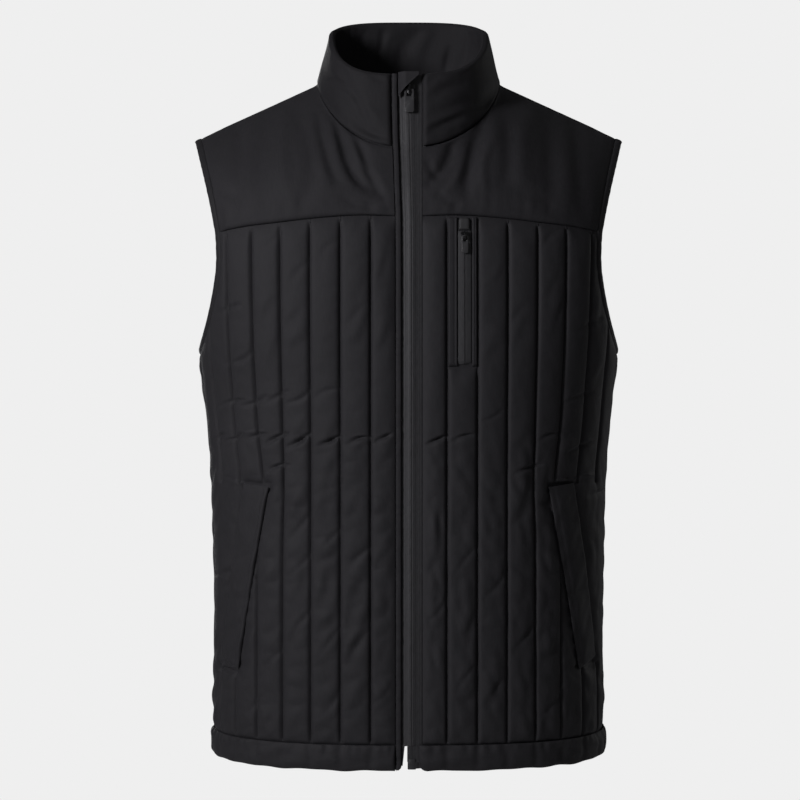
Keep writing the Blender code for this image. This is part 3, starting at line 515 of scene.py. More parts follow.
leftCreases = [
    (426, 444, 446, 435, 3.4, -3.2), (452, 441, 472, 434, 3.4, -2.0), (516, 471, 536, 464, 3.4, -2.6),
    (586, 494, 606, 486, 3.2, -2.4), (538, 440, 556, 432, 3.4, -1.6), (566, 452, 586, 442, 3.2, -1.8),
    (482, 420, 500, 410, 3.6, -1.1), (454, 575, 474, 548, 3.8, -1.3), (484, 596, 504, 570, 3.8, -1.2),
    (512, 650, 534, 622, 3.8, -1.3), (428, 620, 446, 596, 3.8, -1.2), (456, 690, 474, 664, 3.8, -1.3),
    (486, 700, 504, 676, 3.8, -1.1), (540, 712, 562, 688, 3.8, -1.2), (576, 330, 598, 318, 3.4, -1.4),
    (562, 402, 586, 392, 3.4, -1.2), (505, 330, 522, 304, 5, -0.7), (538, 256, 556, 230, 5, -0.7),
    (488, 286, 504, 262, 5, -0.6), (547, 482, 572, 480, 3.2, 1.6), (572, 480, 590, 474, 3.2, 1.4),
    (578, 672, 594, 662, 2.4, -1.8),
]
backCreases = [
    (214, 444, 232, 437, 3.4, -2.4), (238, 448, 258, 438, 3.6, -3.0), (268, 442, 286, 434, 3.4, -2.6),
    (298, 446, 316, 437, 3.6, -3.0), (356, 440, 374, 434, 3.6, -1.8), (414, 444, 432, 436, 3.6, -2.2),
    (444, 440, 462, 431, 3.4, -2.6), (502, 446, 520, 437, 3.6, -2.8), (530, 440, 550, 432, 3.4, -2.6),
    (560, 446, 580, 438, 3.4, -2.8), (246, 398, 264, 389, 3.6, -1.6), (524, 402, 544, 392, 3.6, -1.6),
    (300, 560, 318, 536, 3.8, -1.4), (472, 590, 490, 566, 3.8, -1.4), (386, 640, 404, 614, 3.8, -1.2),
    (240, 640, 258, 616, 3.8, -1.4),
]
weltEnds = [(220, 667, 241, 672, 1.8, -5.0), (574, 667, 595, 660, 1.7, -4.5)]  # gaps under the hand welts


def linePlaces(first, start, stop, per):  # columns of a panel, some to each channel, closer together by the stitching
    lines = [start] + list(np.arange(first, stop, quilt["pitch"])) + [stop]
    t = np.arange(per) / per
    t = 0.18 * t + 0.82 * (1 - np.cos(math.pi * t)) / 2
    columns = [low + (high - low) * t for low, high in zip(lines, lines[1:])]
    return np.append(np.concatenate(columns), stop), lines


def tug(points, free, one, two, rest, pulled, pressed):
    gap = points[two] - points[one]
    size = np.sqrt((gap * gap).sum(-1)) + 1e-9
    error = (size - rest) / size
    error = np.where(error > 0, error * pulled, error * pressed) / np.maximum(free[one] + free[two], 1e-6)
    move = gap * error[..., None]
    points[one] += move * free[one][..., None]
    points[two] -= move * free[two][..., None]


def fillOut(base, normal, start, free, spareAcross, spareAlong):
    points = base + normal * start[..., None]
    everything = slice(None)
    pairs = []
    for odd in (0, 1):
        across = (everything, slice(odd, -1, 2)), (everything, slice(odd + 1, None, 2))
        along = (slice(odd, -1, 2), everything), (slice(odd + 1, None, 2), everything)
        for one, two, spare in (across + (spareAcross,), along + (spareAlong,)):
            rest = np.linalg.norm(base[two] - base[one], axis=-1)
            pairs.append((one, two, rest * (1 + spare[one])))
    diagonal = []
    for one, two in (((slice(0, -1), slice(0, -1)), (slice(1, None), slice(1, None))),
                     ((slice(1, None), slice(0, -1)), (slice(0, -1), slice(1, None)))):
        rest = np.linalg.norm(base[two] - base[one], axis=-1) * (1 + (spareAcross[one] + spareAlong[one]) / 2)
        diagonal.append((one, two, rest))
    for k in range(quilt["steps"]):
        points += normal * (free * quilt["push"])[..., None]
        for one, two, rest in pairs:
            tug(points, free, one, two, rest, 0.9, 0.55)
        for one, two, rest in diagonal:
            tug(points, free, one, two, rest, 0.10, 0.06)
        soft = points.copy()  # stiffness: short waves along and across are eased
        soft[1:-1] += 0.10 * (points[2:] + points[:-2] - 2 * points[1:-1]) * free[1:-1][..., None]
        soft[:, 1:-1] += 0.03 * (points[:, 2:] + points[:, :-2] - 2 * points[:, 1:-1]) * free[:, 1:-1][..., None]
        points = soft
    return points


def lineShift(arc, z):  # the hand pocket draws the nearest stitch lines inwards
    return -quilt["squeeze"] * bell(z + 0.393, 0.045) * ease(0.11, 0.16, arc)


def rowLevels(low, high, step):  # closer together at the waist, where the creases are sharp, and at the hem
    fine = np.linspace(low, high, 3000)
    run = np.cumsum(1 + 1.8 * bell(fine + 0.350, 0.035) + 2.6 * bell(fine - low, 0.006))
    return np.interp(np.linspace(run[0], run[-1], int((high - low) / step) + 1), run, fine)


def panelGrid(columns, edge, seam, shift, rowStep):
    level = rowLevels(form["hem"] + form["hemBand"], form["seamLevel"], rowStep)[:, None]
    count = len(level)
    climb = np.clip((level - form["underarm"]) / (form["seamLevel"] - form["underarm"]), 0, None) ** 2
    target = np.broadcast_to(columns[None, :], (count, len(columns)))
    z = np.broadcast_to(level, target.shape).copy()
    for k in range(5):
        limit = edge(z)
        arc = np.abs(target) + (shift(np.abs(target), z) if shift else 0)
        arc = np.where(arc > limit - 0.0009, limit, arc)
        z = level + climb * (seam(arc) - form["seamLevel"])
    z[0] -= quilt["tuck"]
    z[-1] -= form["seamGap"] / 2
    return np.sign(target + 1e-12) * arc, z, arc >= limit - 1e-9


def betweenLines(columns, lines):
    k = np.clip(np.searchsorted(lines, columns + 1e-9) - 1, 0, len(lines) - 2)
    share = (columns - np.array(lines)[k]) / (np.array(lines)[k + 1] - np.array(lines)[k])
    return np.clip(share, 0, 1), np.min(np.abs(columns[:, None] - np.array(lines)[None, :]), axis=1) < 1e-6


def weltShare(arc, z):  # across the hand pocket welt from its inner to its outer edge, and down it
    (a1, z1), (a2, z2) = quilt["weltInner"]
    (b1, y1), (b2, y2) = quilt["weltOuter"]
    down = (z - (z1 + y1) / 2) / ((z2 + y2) / 2 - (z1 + y1) / 2)
    inner, outer = blendRow(a1, a2, down), blendRow(b1, b2, down)
    return (arc - inner) / (outer - inner), down


def facets(across, arc, z, way, channel, seed):  # slanting folds, sharp on their shaded side, different in each channel
    chance = np.random.default_rng(seed)
    count = int(channel.max()) + 2
    wave, start = chance.uniform(0.024, 0.040, count)[channel], chance.uniform(0, 1, count)[channel]
    slope = np.radians(quilt["facetLean"] + chance.normal(0, 7, count))[channel]
    bend = 0.006 * ripples(arc, z, seed + 1, 8, 0.03, 0.09, 40, 60)
    phase = (way * arc * np.sin(slope) - z * np.cos(slope) + bend) / wave + start
    part = phase - np.floor(phase)
    saw = np.where(part < 0.70, part / 0.70, (1 - part) / 0.30)
    saw = saw * saw * (3 - 2 * saw) - 0.5
    patchy = ease(-0.25, 0.9, ripples(arc, z, seed + 2, 9, 0.05, 0.16, 60, 70))
    side = across if way > 0 else 1 - across
    return saw * patchy * (0.30 + 0.70 * side) * np.sin(math.pi * np.clip(across, 0, 1)) ** 0.45


def makePanel(name, point, columns, lines, edge, seam, table, seed, way=1, pockets=(), shift=None,
              rowStep=quilt["rowStep"]):
    arc, z, atEdge = panelGrid(columns, edge, seam, shift, rowStep)
    base, normal = surfaceFrame(point, arc, z)
    if way < 0:
        base, normal = base * flipX, normal * flipX
    share, onLine = betweenLines(np.abs(columns), lines)
    channel = np.clip(np.searchsorted(lines, np.abs(columns) + 1e-9) - 1, 0, len(lines) - 2)
    span = np.diff(lines)[channel]
    toLine = np.where((channel == 0) & (lines[0] > 0), 1 - share, np.minimum(share, 1 - share)) * span
    channel = channel + np.where(columns < 0, len(lines), 0)
    size = np.abs(arc)
    free = np.ones(arc.shape)
    free[:, onLine] = 0
    hump = np.broadcast_to(np.sin(math.pi * share) ** 0.8, arc.shape).copy()
    level = np.full(arc.shape, quilt["sewn"])
    groove = np.broadcast_to(quilt["groove"] * bell(toLine, quilt["grooveWidth"]), arc.shape).copy()
    if "hand" in pockets:
        across, down = weltShare(size, z)
        lowered = (down < 0.035) | (down > 0.974) | (across > 0.97) | ((way > 0) & (across < 0.02))
        pocketLevel = np.where(lowered, quilt["mouthLevel"], quilt["handLevel"])
        smoothSide = (across > -0.02) & (down > -0.01) & (down < 1.01)
        free[smoothSide] = 1
        hump[smoothSide], groove[smoothSide] = 0.45, 0
        underWelt = (across > -0.03) & (across < 1.03) & (down > -0.015) & (down < 1.015)
        free[underWelt], hump[underWelt] = 0, 0
        level[underWelt] = pocketLevel[underWelt]
    if "chest" in pockets:
        lowArc, highArc, lowZ = quilt["chestZone"]
        zone = (size >= lowArc - 1e-6) & (size <= highArc + 1e-6) & (z > lowZ)
        free[zone], hump[zone], groove[zone] = 0, 0, 0
        level[zone] = quilt["edge"]
    limit = edge(z)
    rim = np.minimum(np.minimum(z - z.min(), seam(size) - z), limit - size)  # how far it is to the panel's edge
    if lines[0] > 0:
        rim = np.minimum(rim, size - lines[0])
    free[atEdge] = 0
    free[0], free[-1], free[:, 0], free[:, -1] = 0, 0, 0, 0
    level = np.where(rim < 0.0004, quilt["edge"], level)
    level[0] = quilt["hemLevel"]
    level[-1] = blendRow(0.0002, quilt["edge"], 1 - ease(0.002, 0.007, limit[-1] - size[-1]))
    ends = np.clip(rim / 0.020, 0, 1)
    wander = ripples(arc, z, seed, 14, 0.018, 0.060, 70, 28)
    start = level + quilt["puff"] * hump * (0.45 + 0.55 * ends ** 0.5) * free + 0.00030 * wander * free
    spareAcross = quilt["spareAcross"] * (1 + 0.30 * ripples(arc, z, seed + 1, 10, 0.05, 0.16, 40, 60))
    spareAlong = quilt["spareAlong"] * (1 + 0.75 * ripples(arc, z, seed + 2, 12, 0.03, 0.10, 60, 50))
    points = fillOut(base, normal, start, free, spareAcross, np.clip(spareAlong, -0.005, 0.09))
    moved = np.sum((points - base) * normal, axis=-1)
    drift = points - base - normal * moved[..., None]
    soft = ease(0, 0.008, rim)
    worn = 0.55 + 0.45 * ease(-0.34, -0.46, z)  # more crumpled below the waist
    held = np.where(free > 0, 1, np.where(np.broadcast_to(onLine, arc.shape), 0.5, 0))
    folds = quilt["fold"] * creases(base, table, 0.45) if table else 0
    acrossGrid = np.broadcast_to(share, arc.shape)
    channels = channel[None, :] + np.zeros(arc.shape, int)
    crumple = quilt["facet"] * facets(acrossGrid, arc, z, way, channels, seed + 31) * worn
    crush = np.abs(ripples(arc * 1.5, z, seed + 41, 6, 0.030, 0.075, 55, 45))
    crush = crush + 0.7 * np.abs(ripples(arc * 1.5, z, seed + 43, 6, 0.022, 0.055, 60, 55))
    crumple = crumple + quilt["crush"] * (crush - 1.2) * (0.25 + 0.75 * ease(-0.31, -0.43, z))
    moved = moved + (folds * (0.45 + 0.55 * hump) + crumple * hump) * soft * held - groove * ease(0, 0.006, rim)
    moved = np.clip(moved, np.minimum(level, 0.0024) - 0.0026, quilt["highest"])
    hemNear = np.clip((z - form["hem"] - form["hemBand"]) / quilt["hemRoll"], 0, 1)
    moved = quilt["hemLevel"] + (moved - quilt["hemLevel"]) * bulge(hemNear)
    if "hand" in pockets:  # the cloth under the welt lies flat, up to the welt's own edge
        under = ease(-0.080, -0.020, across) * (1 - ease(1.02, 1.08, across))
        under = under * ease(-0.026, -0.010, down) * (1 - ease(1.010, 1.026, down))
        moved = blendRow(moved, pocketLevel, under)
        moved = np.maximum(moved + creases(base, weltEnds), quilt["pit"])
    outer = base + drift + normal * moved[..., None]
    inner = base + normal * (form["wallIn"] - 0.0013 * hump * np.clip(ends, 0, 1))[..., None]
    uv = np.stack([np.abs(arc), z + 0.7], axis=-1)
    piece = shell(name, outer, inner, uv, quilted)
    print(name, "filled out, highest", round(float(moved.max()) * 1000, 2), "mm")
    return piece, outer, normal, arc, z, onLine, free, atEdge


frontColumns, frontLines = linePlaces(quilt["first"], form["frontEdge"], 0.285, quilt["perChannel"])
halfBack, backLines = linePlaces(quilt["pitch"] / 2, 0.0, 0.345, quilt["backPerChannel"])
backLines = [-quilt["pitch"] / 2] + backLines[1:]
backColumns = np.concatenate([-halfBack[:0:-1], halfBack])


def backSeam(arc):
    return form["seamLevel"] + 0 * arc


frontForm = (frontPoint, frontColumns, frontLines, frontEdgeArc, yokeSeamZ)
leftFront = makePanel("quilted_front_left", *frontForm, leftCreases, 11, pockets=("hand", "chest"), shift=lineShift)
rightFront = makePanel(
    "quilted_front_right", *frontForm, rightCreases, 23, way=-1, pockets=("hand",), shift=lineShift)
backPanel = makePanel(
    "quilted_back", backPoint, backColumns, backLines, backEdgeArc, backSeam, backCreases, 37,
    rowStep=quilt["backRowStep"])
for made, node in ((leftFront, "front_panel_left"), (rightFront, "front_panel_right"), (backPanel, "back_panel")):
    dress(made[0], "quilted_cloth", node)

# plain yokes: soft at their seams, with the drag folds the photograph shows
yokes = {
    "out": 0.0024, "edge": 0.0004, "lip": -0.0004, "neckLip": -0.0014, "roll": 0.0028, "rows": 54,
    "pucker": 0.00050, "wave": 0.00055, "bend": 70, "fold": 1.35,
    "tipSlope": 0.8, "tipRound": 0.0035, "tipLift": 0.0014, "tipReach": 0.020,
    "turn": 0.0055, "behind": 0.0006, "single": 0.0005, "range": (-0.0014, 0.0058),
    "frontTall": 0.10, "backTall": 0.12, "frontSpan": 0.18, "backSpan": 0.19,
}
leftYokeFolds = [
    (453, 141, 430, 183, 6.5, -3.0), (480, 132, 466, 196, 8, -2.8), (503, 118, 505, 184, 10, -1.8),
    (466, 148, 447, 192, 6, 1.6), (548, 125, 552, 215, 12, -1.8), (528, 112, 530, 200, 12, 1.3),
    (575, 128, 580, 210, 10, -1.3), (440, 196, 470, 206, 6, -1.0), (427, 160, 437, 177, 5, -1.6),
    (492, 140, 484, 190, 6, 1.2), (516, 190, 548, 206, 8, -0.9),
]
rightYokeFolds = [
    (319, 118, 336, 180, 7, -2.8), (340, 141, 375, 193, 7.5, -3.2), (363, 148, 384, 197, 6, -2.4),
    (302, 118, 306, 205, 11, -1.8), (270, 120, 266, 208, 13, -1.5), (352, 138, 372, 172, 6, 1.5),
    (329, 122, 352, 182, 6, 1.5), (286, 120, 288, 196, 10, 1.2), (240, 126, 236, 205, 10, -1.4),
    (345, 200, 385, 204, 5, -1.0), (214, 190, 246, 202, 8, -1.0),
]
backYokeFolds = [
    (345, 96, 322, 186, 11, -1.5), (468, 96, 492, 186, 11, -1.4), (404, 104, 408, 200, 15, -0.9),
    (296, 112, 262, 192, 11, -1.3), (520, 112, 552, 194, 11, -1.3), (244, 140, 226, 204, 9, -1.0),
    (566, 140, 584, 204, 9, -1.0), (372, 150, 366, 204, 8, 0.8),
]


def softEdge(near, low, high):
    return low + (high - low) * np.clip(near, 0, 1) ** 0.55


def easeBend(base, u, v):  # the yoke turns from neck to shoulder in a soft curve
    hold = (bell((np.abs(u) - shoulder["neckShare"]), 0.12) * (1 - ease(0.82, 1.0, v)))[1:-1, 1:-1, None]
    for k in range(yokes["bend"]):
        base[1:-1, 1:-1] += 0.25 * hold * (base[1:-1, 2:] + base[1:-1, :-2] - 2 * base[1:-1, 1:-1])
    return base


def makeYoke(name, point, share, rise, mirrored, table, height, seed, sideNear, shoulderNormal):
    u, v = np.meshgrid(share, rise)
    inset = np.interp(v, (0, 1), (form["seamGap"] / 2 / height, 1 - form["seamGap"] / height))
    base = easeBend(point(u, inset), u, v)
    fromTip = (1 - v) * height
    tipDrop = yokes["tipSlope"] * (np.sqrt(fromTip ** 2 + yokes["tipRound"] ** 2) - fromTip)
    tipRise = yokes["tipLift"] * bell(fromTip, yokes["tipReach"])
    base[..., 2] += (tipRise - tipDrop) * ease(0.86, 1.0, np.abs(u))  # the armhole is rounded at the shoulder
    normal = unit(np.cross(np.gradient(base, axis=1), np.gradient(base, axis=0)))
    if np.sum(normal * (base - np.array([0, 0, -0.2]))) < 0:
        normal = -normal
    edge, mask = shoulderNormal
    fade = (ease(0.80, 1.0, v) * mask)[..., None]
    normal = unit(normal * (1 - fade) + edge[None] * fade)
    if mirrored:
        base, normal = base * flipX, normal * flipX
    side = np.minimum(sideNear(u), (1 - v) * height)
    away = np.minimum(side, v * height)
    atNeck = 1 - ease(0.36, 0.42, np.abs(u))
    fromSeam = np.minimum(v * height, 0.7 * (1 - v) * height / np.maximum(atNeck, 0.01))
    roll = bulge(fromSeam / yokes["roll"])
    roll = blendRow(1, roll, np.clip(sideNear(u) / 0.006, 0, 1))
    lip = blendRow(yokes["lip"], yokes["neckLip"], atNeck * ease(0.5, 0.9, v))
    out = lip + (softEdge(blendRow(side, sideNear(u), atNeck) / 0.012, yokes["edge"], yokes["out"]) - lip) * roll
    run = np.cumsum(np.linalg.norm(np.diff(base[0], axis=0, prepend=base[0][:1]), axis=1))[None, :]
    pucker = ripples(run + 0 * v, v * height * 0.22, seed, 9, 0.010, 0.022, 0, 7)
    seams = bell(v * height, 0.012) + 0.7 * bell((1 - v) * height, 0.010)
    waves = ripples(run + 0 * v, v * height, seed + 3, 8, 0.040, 0.110, 15, 35)
    hold = np.clip(away / 0.008, 0, 1)
    out = out + hold * (yokes["pucker"] * pucker * seams + yokes["wave"] * waves + yokes["fold"] * creases(base, table))
    outer = base + normal * np.clip(out, *yokes["range"])[..., None]
    inner = base + normal * (form["wallIn"] + 0.35 * hold * np.clip(out - yokes["out"], -0.0015, 0.0005))[..., None]
    uv = np.stack([run + 0 * v, v * height + 0.5], axis=-1)
    # the seam allowance lies down behind the panel
    fold = np.array([yokes["turn"], 0.0])[:, None, None] * unit(base[0] - base[1])
    flap = base[0] + fold + normal[0] * (form["wallIn"] - yokes["behind"])
    outer, inner = np.concatenate([flap, outer]), np.concatenate([flap - normal[0] * yokes["single"], inner])
    uv = np.concatenate([uv[:1] - np.array([0, 0.007]), uv[:1] - np.array([0, 0.002]), uv])
    return shell(name, outer, inner, uv, plain), base, normal


def nearFrontSide(u):
    return np.minimum(u * yokes["frontSpan"] + 0.004, (1 - u) * yokes["frontSpan"])


def nearBackSide(u):
    return (1 - np.abs(u)) * yokes["backSpan"]


frontShare = np.concatenate([np.linspace(0, 0.4, 44, endpoint=False), np.linspace(0.4, 1, 62)])
backHalf = np.concatenate([np.linspace(0, 0.4, 32, endpoint=False), np.linspace(0.4, 1, 40)])
backShare = np.concatenate([-backHalf[:0:-1], backHalf])
rise = np.concatenate([np.linspace(0, 0.04, 8, endpoint=False), np.linspace(0.04, 0.96, yokes["rows"], endpoint=False),
                       np.linspace(0.96, 1, 9)])
topRow = np.ones_like(frontShare)
sharedNormal = unit(
    surfaceFrame(frontYokePoint, frontShare, topRow * 0.997, 0.004, 0.008, (0, 0, -0.2))[1]
    + surfaceFrame(backYokePoint, frontShare, topRow * 0.997, 0.004, 0.008, (0, 0, -0.2))[1])
onShoulder = ease(0.40, 0.46, frontShare)
backNormal = np.stack([np.interp(np.abs(backShare), frontShare, sharedNormal[:, k]) for k in range(3)], axis=-1)
backNormal[:, 0] *= np.where(backShare < 0, -1, 1)
leftYoke, yokeBase, yokeNormal = makeYoke(
    "plain_yoke_left", frontYokePoint, frontShare, rise, False, leftYokeFolds, yokes["frontTall"], 51, nearFrontSide,
    (sharedNormal, onShoulder))
rightYoke = makeYoke(
    "plain_yoke_right", frontYokePoint, frontShare, rise, True, rightYokeFolds, yokes["frontTall"], 57, nearFrontSide,
    (sharedNormal, onShoulder))[0]
backYoke, backYokeBase, backYokeNormal = makeYoke(
    "plain_yoke_back", backYokePoint, backShare, rise, False, backYokeFolds, yokes["backTall"], 63, nearBackSide,
    (backNormal, ease(0.40, 0.46, np.abs(backShare))))
dress(leftYoke, "plain_cloth", "front_yoke_left")
dress(rightYoke, "plain_cloth", "front_yoke_right")
dress(backYoke, "plain_cloth", "back_yoke")
print("yokes draped")

# stand collar: an outer and an inner piece that meet in the rolled rim
collar = {
    "tall": 0.068, "round": 0.50, "lift": 0.013, "out": 0.0034, "in": 0.0033, "behind": 0.0021, "seat": 0.0003,
    "cols": 260, "rows": 40, "rimRoll": 0.0042, "endRoll": 0.0030, "footRoll": 0.0046,
    "fold": 1.35, "gather": 0.00045, "wave": 0.00055, "lowest": 0.00005, "highest": 0.0054, "deepest": 0.0058,
}
collarFolds = [
    (335, 80, 372, 123, 5.5, -2.1), (345, 78, 380, 116, 6, 1.0), (372, 73, 387, 81, 4, -1.4),
    (378, 67, 392, 73, 4, -0.9), (345, 66, 360, 90, 6, -1.1), (356, 118, 392, 140, 6, -1.4),
    (322, 96, 346, 122, 6, -1.0), (425, 150, 446, 143, 5, -1.1), (427, 133, 458, 119, 5, -2.5),
    (430, 125, 462, 108, 5, 1.3), (432, 97, 462, 85, 6, -1.7), (438, 110, 470, 101, 6, -1.5),
    (470, 112, 491, 92, 8, -1.5), (428, 84, 440, 78, 4, -1.2),
]
innerFolds = [
    (387, 35, 372, 70, 5, -2.6), (417, 33, 402, 71, 5.5, -2.8), (451, 50, 446, 72, 4.5, -2.4),
    (397, 33, 385, 68, 6, 1.2), (429, 35, 417, 71, 6, 1.2), (471, 38, 462, 70, 6, -1.5),
    (366, 32, 356, 66, 6, -1.6),
]
collarShare = np.linspace(0, 1, collar["cols"])
rolled = np.cos(np.linspace(0, math.pi / 2 + 0.6, collar["rows"]))
collarRise = collar["lift"] + (1 - collar["lift"]) * ((1 - rolled) / (1 - rolled[-1])) ** 0.9


def collarSkin(rise):
    u, v = np.meshgrid(collarShare, rise)
    base, normal = surfaceFrame(collarPoint, u, v, 0.002, 0.02, (0, -0.015, 0))
    tall, foot = (1 - v) * collar["tall"], v * collar["tall"]
    endNear = np.minimum(u, 1 - u) * collar["round"]
    full = bulge(tall / collar["rimRoll"]) * bulge(endNear / collar["endRoll"])
    run = u * collar["round"]
    near = bell(foot, 0.010) + 0.5 * bell(tall, 0.012)
    gathers = collar["gather"] * ripples(run, tall * 0.3, 71, 9, 0.012, 0.030, 0, 10) * near
    waves = gathers + collar["wave"] * ripples(run, foot, 73, 8, 0.035, 0.10, 30, 40)
    hold = np.clip(np.minimum(foot, tall) / 0.008, 0, 1)
    return base, normal, full, hold, waves, foot, np.stack([run, v * collar["tall"]], axis=-1)


base, normal, full, hold, waves, foot, uv = collarSkin(collarRise)
inFront = np.where(base[..., 1] < 0.0, 1.0, 0.0)
folds = hold * (waves + collar["fold"] * creases(base, collarFolds) * inFront)
out = collar["out"] * full * bulge(np.clip(foot / collar["footRoll"], 0.02, 1)) + folds
outer = base + normal * np.clip(out, collar["lowest"], collar["highest"])[..., None]
# the collar's face takes the darker copy of the cloth, painted shade
collarOuter = shell("collar_face", outer, base, uv, collarShadedCloth)

# the facing runs on a little below the seam, behind the yokes
base, normal, full, hold, waves, foot, uv = collarSkin(np.concatenate([[-0.050, -0.025, -0.004], collarRise]))
inBack = np.where(base[..., 1] > -0.02, 1.0, 0.0)
depth = collar["seat"] + collar["in"] * full + hold * (waves + creases(base, innerFolds) * inBack)
behindSeam = np.where(foot < 0.0015, collar["behind"], collar["seat"])
depth = np.clip(depth, behindSeam + collar["seat"], collar["deepest"])[..., None]
# the facing takes the same darker copy of the cloth, painted shade
collarInner = shell(
    "collar_facing", base - normal * depth, base - normal * behindSeam[..., None], uv, collarShadedCloth)
dress(collarOuter, "plain_cloth", "collar_outer")
dress(collarInner, "plain_cloth", "collar_inner")
print("collar rolled")

# armhole bindings, round the edges of the four pieces that meet there
bound = {"near": -0.0013, "far": 0.0060, "in": -0.0018, "out": 0.0019, "step": 0.0020}


def resample(points, others, step):
    loop = np.concatenate([points, points[:1]])
    run = np.concatenate([[0], np.cumsum(np.linalg.norm(np.diff(loop, axis=0), axis=1))])
    count = int(run[-1] / step)
    at = np.linspace(0, run[-1], count, endpoint=False)
    series = [loop] + [np.concatenate([o, o[:1]]) for o in others]
    return [np.stack([np.interp(at, run, s[:, k]) for k in range(3)], axis=-1) for s in series], at


def softRound(series, times):
    for k in range(times):
        series = (np.roll(series, 1, axis=0) + 2 * series + np.roll(series, -1, axis=0)) / 4
    return series


rising = np.linspace(0, 1, 90) ** 2  # closer together under the arm, where the edge runs level
heights = blendRow(form["underarm"], float(yokeSeamZ(frontCorner)), rising)
frontSide, frontSideN = surfaceFrame(frontPoint, frontEdgeArc(heights), heights)
backHeights = blendRow(form["underarm"], form["seamLevel"], rising)[:0:-1]
backSide, backSideN = surfaceFrame(backPoint, backEdgeArc(backHeights), backHeights)
loopPoints = np.concatenate([frontSide, yokeBase[1:, -1], backYokeBase[-2::-1, -1], backSide[1:]])
loopNormals = np.concatenate([frontSideN, yokeNormal[1:, -1], backYokeNormal[-2::-1, -1], backSideN[1:]])
(holeEdge, holeNormal), holeRun = resample(loopPoints, [loopNormals], bound["step"])
holeNormal = unit(softRound(holeNormal, 6))
holeTangent = unit(softRound(np.roll(holeEdge, -1, axis=0) - np.roll(holeEdge, 1, axis=0), 4))
holeAcross = unit(np.cross(holeNormal, holeTangent))
holeAcross *= np.sign(np.sum(holeAcross * (holeEdge.mean(axis=0) - holeEdge)))
gather = ripples(holeRun, 0 * holeRun, 81, 10, 0.007, 0.020, 0, 1)
bindProfile = oval(bound["near"], bound["far"], bound["in"], bound["out"], 14, 2.6)
swell = 1 + 0.05 * gather[:, None, None] * np.array([0.4, 1.0])
middle = np.array([(bound["near"] + bound["far"]) / 2, (bound["in"] + bound["out"]) / 2])
bindShape = middle + (bindProfile - middle) * swell
for side, sign in (("left", 1), ("right", -1)):
    flip = np.array([sign, 1, 1])
    piece = sweep("binding_" + side, holeEdge * flip, holeAcross * flip, holeNormal * flip, bindShape, True, binding)
    dress(piece, "plain_cloth", "armhole_binding_" + side)
print("armholes bound")

# hem band: a puffed tube, drawn in at the quilting lines and gathered into the hem seam
hem = {
    "dent": 0.30, "dentWidth": 0.0038, "wrap": 0.0032, "wave": 0.00058, "gather": 0.00060, "sag": 0.0007,
    "lapRound": 0.009, "buttRound": 0.003,
    # height from the band's middle and distance out, in mm; the groove on top takes the panel's lower edge
    "profile": (
        (9.9, -0.4), (10.0, 1.1), (11.6, 1.3), (12.2, 1.9), (11.2, 2.9), (9.0, 3.6), (6.0, 4.05), (2.5, 4.2),
        (-1.0, 4.2), (-4.5, 4.0), (-7.6, 3.6), (-9.8, 3.0), (-11.4, 2.2), (-12.3, 1.2), (-12.5, 0.2),
        (-12.1, -0.9), (-10.8, -1.7), (-8.0, -2.2), (-4.0, -2.4), (0.0, -2.4), (4.0, -2.4), (8.0, -2.3),
        (11.0, -2.2), (12.2, -2.05), (11.8, -1.85), (10.0, -1.8)),
}


def makeHem(name, point, arcs, lines, mirrored, seed, zipEnd):
    level = form["hem"] + form["hemBand"] / 2
    base, normal = surfaceFrame(point, arcs, np.full_like(arcs, level), centre=(0, 0, level))
    if mirrored:
        base, normal = base * flipX, normal * flipX
    up = np.tile([0.0, 0.0, 1.0], (len(arcs), 1))
    profile = np.array(hem["profile"]) / 1000
    near = np.min(np.abs(np.abs(arcs)[:, None] - np.array(lines)[None, :]), axis=1)
    dent = 1 - hem["dent"] * bell(near, hem["dentWidth"])
    shape = np.repeat(profile[None], len(arcs), axis=0)
    height = (shape[..., 0] + form["hemBand"] / 2) / form["hemBand"]
    waves = ripples(arcs[:, None], height * 0.025, seed, 10, 0.010, 0.030, 75, 30)
    gathers = ripples(arcs[:, None], height * 0.010, seed + 1, 9, 0.008, 0.018, 0, 10) * ease(0.55, 0.9, height)
    out = shape[..., 1]
    face = ease(0.0012, 0.0030, out)
    out = out * np.where(out > 0, 1 - face * (1 - dent[:, None]), 0.7 + 0.3 * dent[:, None])
    shape[..., 1] = out + (face + 0.25 * ease(-0.0015, -0.0022, out)) * (hem["wave"] * waves + hem["gather"] * gathers)
    sag = hem["sag"] * ripples(arcs[:, None], 0 * height, seed + 2, 6, 0.03, 0.09, 0, 1)
    shape[..., 0] -= sag * (1 - ease(0, 0.6, height))
    if zipEnd:
        fromEnd = np.clip(np.abs(arcs - arcs[0]) / hem["lapRound" if zipEnd == "lapped" else "buttRound"], 0, 1)
        corner = bulge(fromEnd)
        top = form["hemBand"] / 2
        if zipEnd == "lapped":  # its corner is rounded off and lies over the tape
            shape[..., 0] = top + (shape[..., 0] - top) * (0.70 + 0.30 * corner)[:, None]
            lap = (1 - ease(form["frontEdge"] - 0.0004, form["frontEdge"] + 0.0008, arcs))[:, None]
            shape[..., 1] = np.where(shape[..., 1] < -0.0003, shape[..., 1] * (1 - lap) - 0.0003 * lap, shape[..., 1])
        shape[..., 1] = -0.0003 + (shape[..., 1] + 0.0003) * (0.35 + 0.65 * corner)[:, None]
    return sweep(name, base, up, normal, shape, False, quilted)


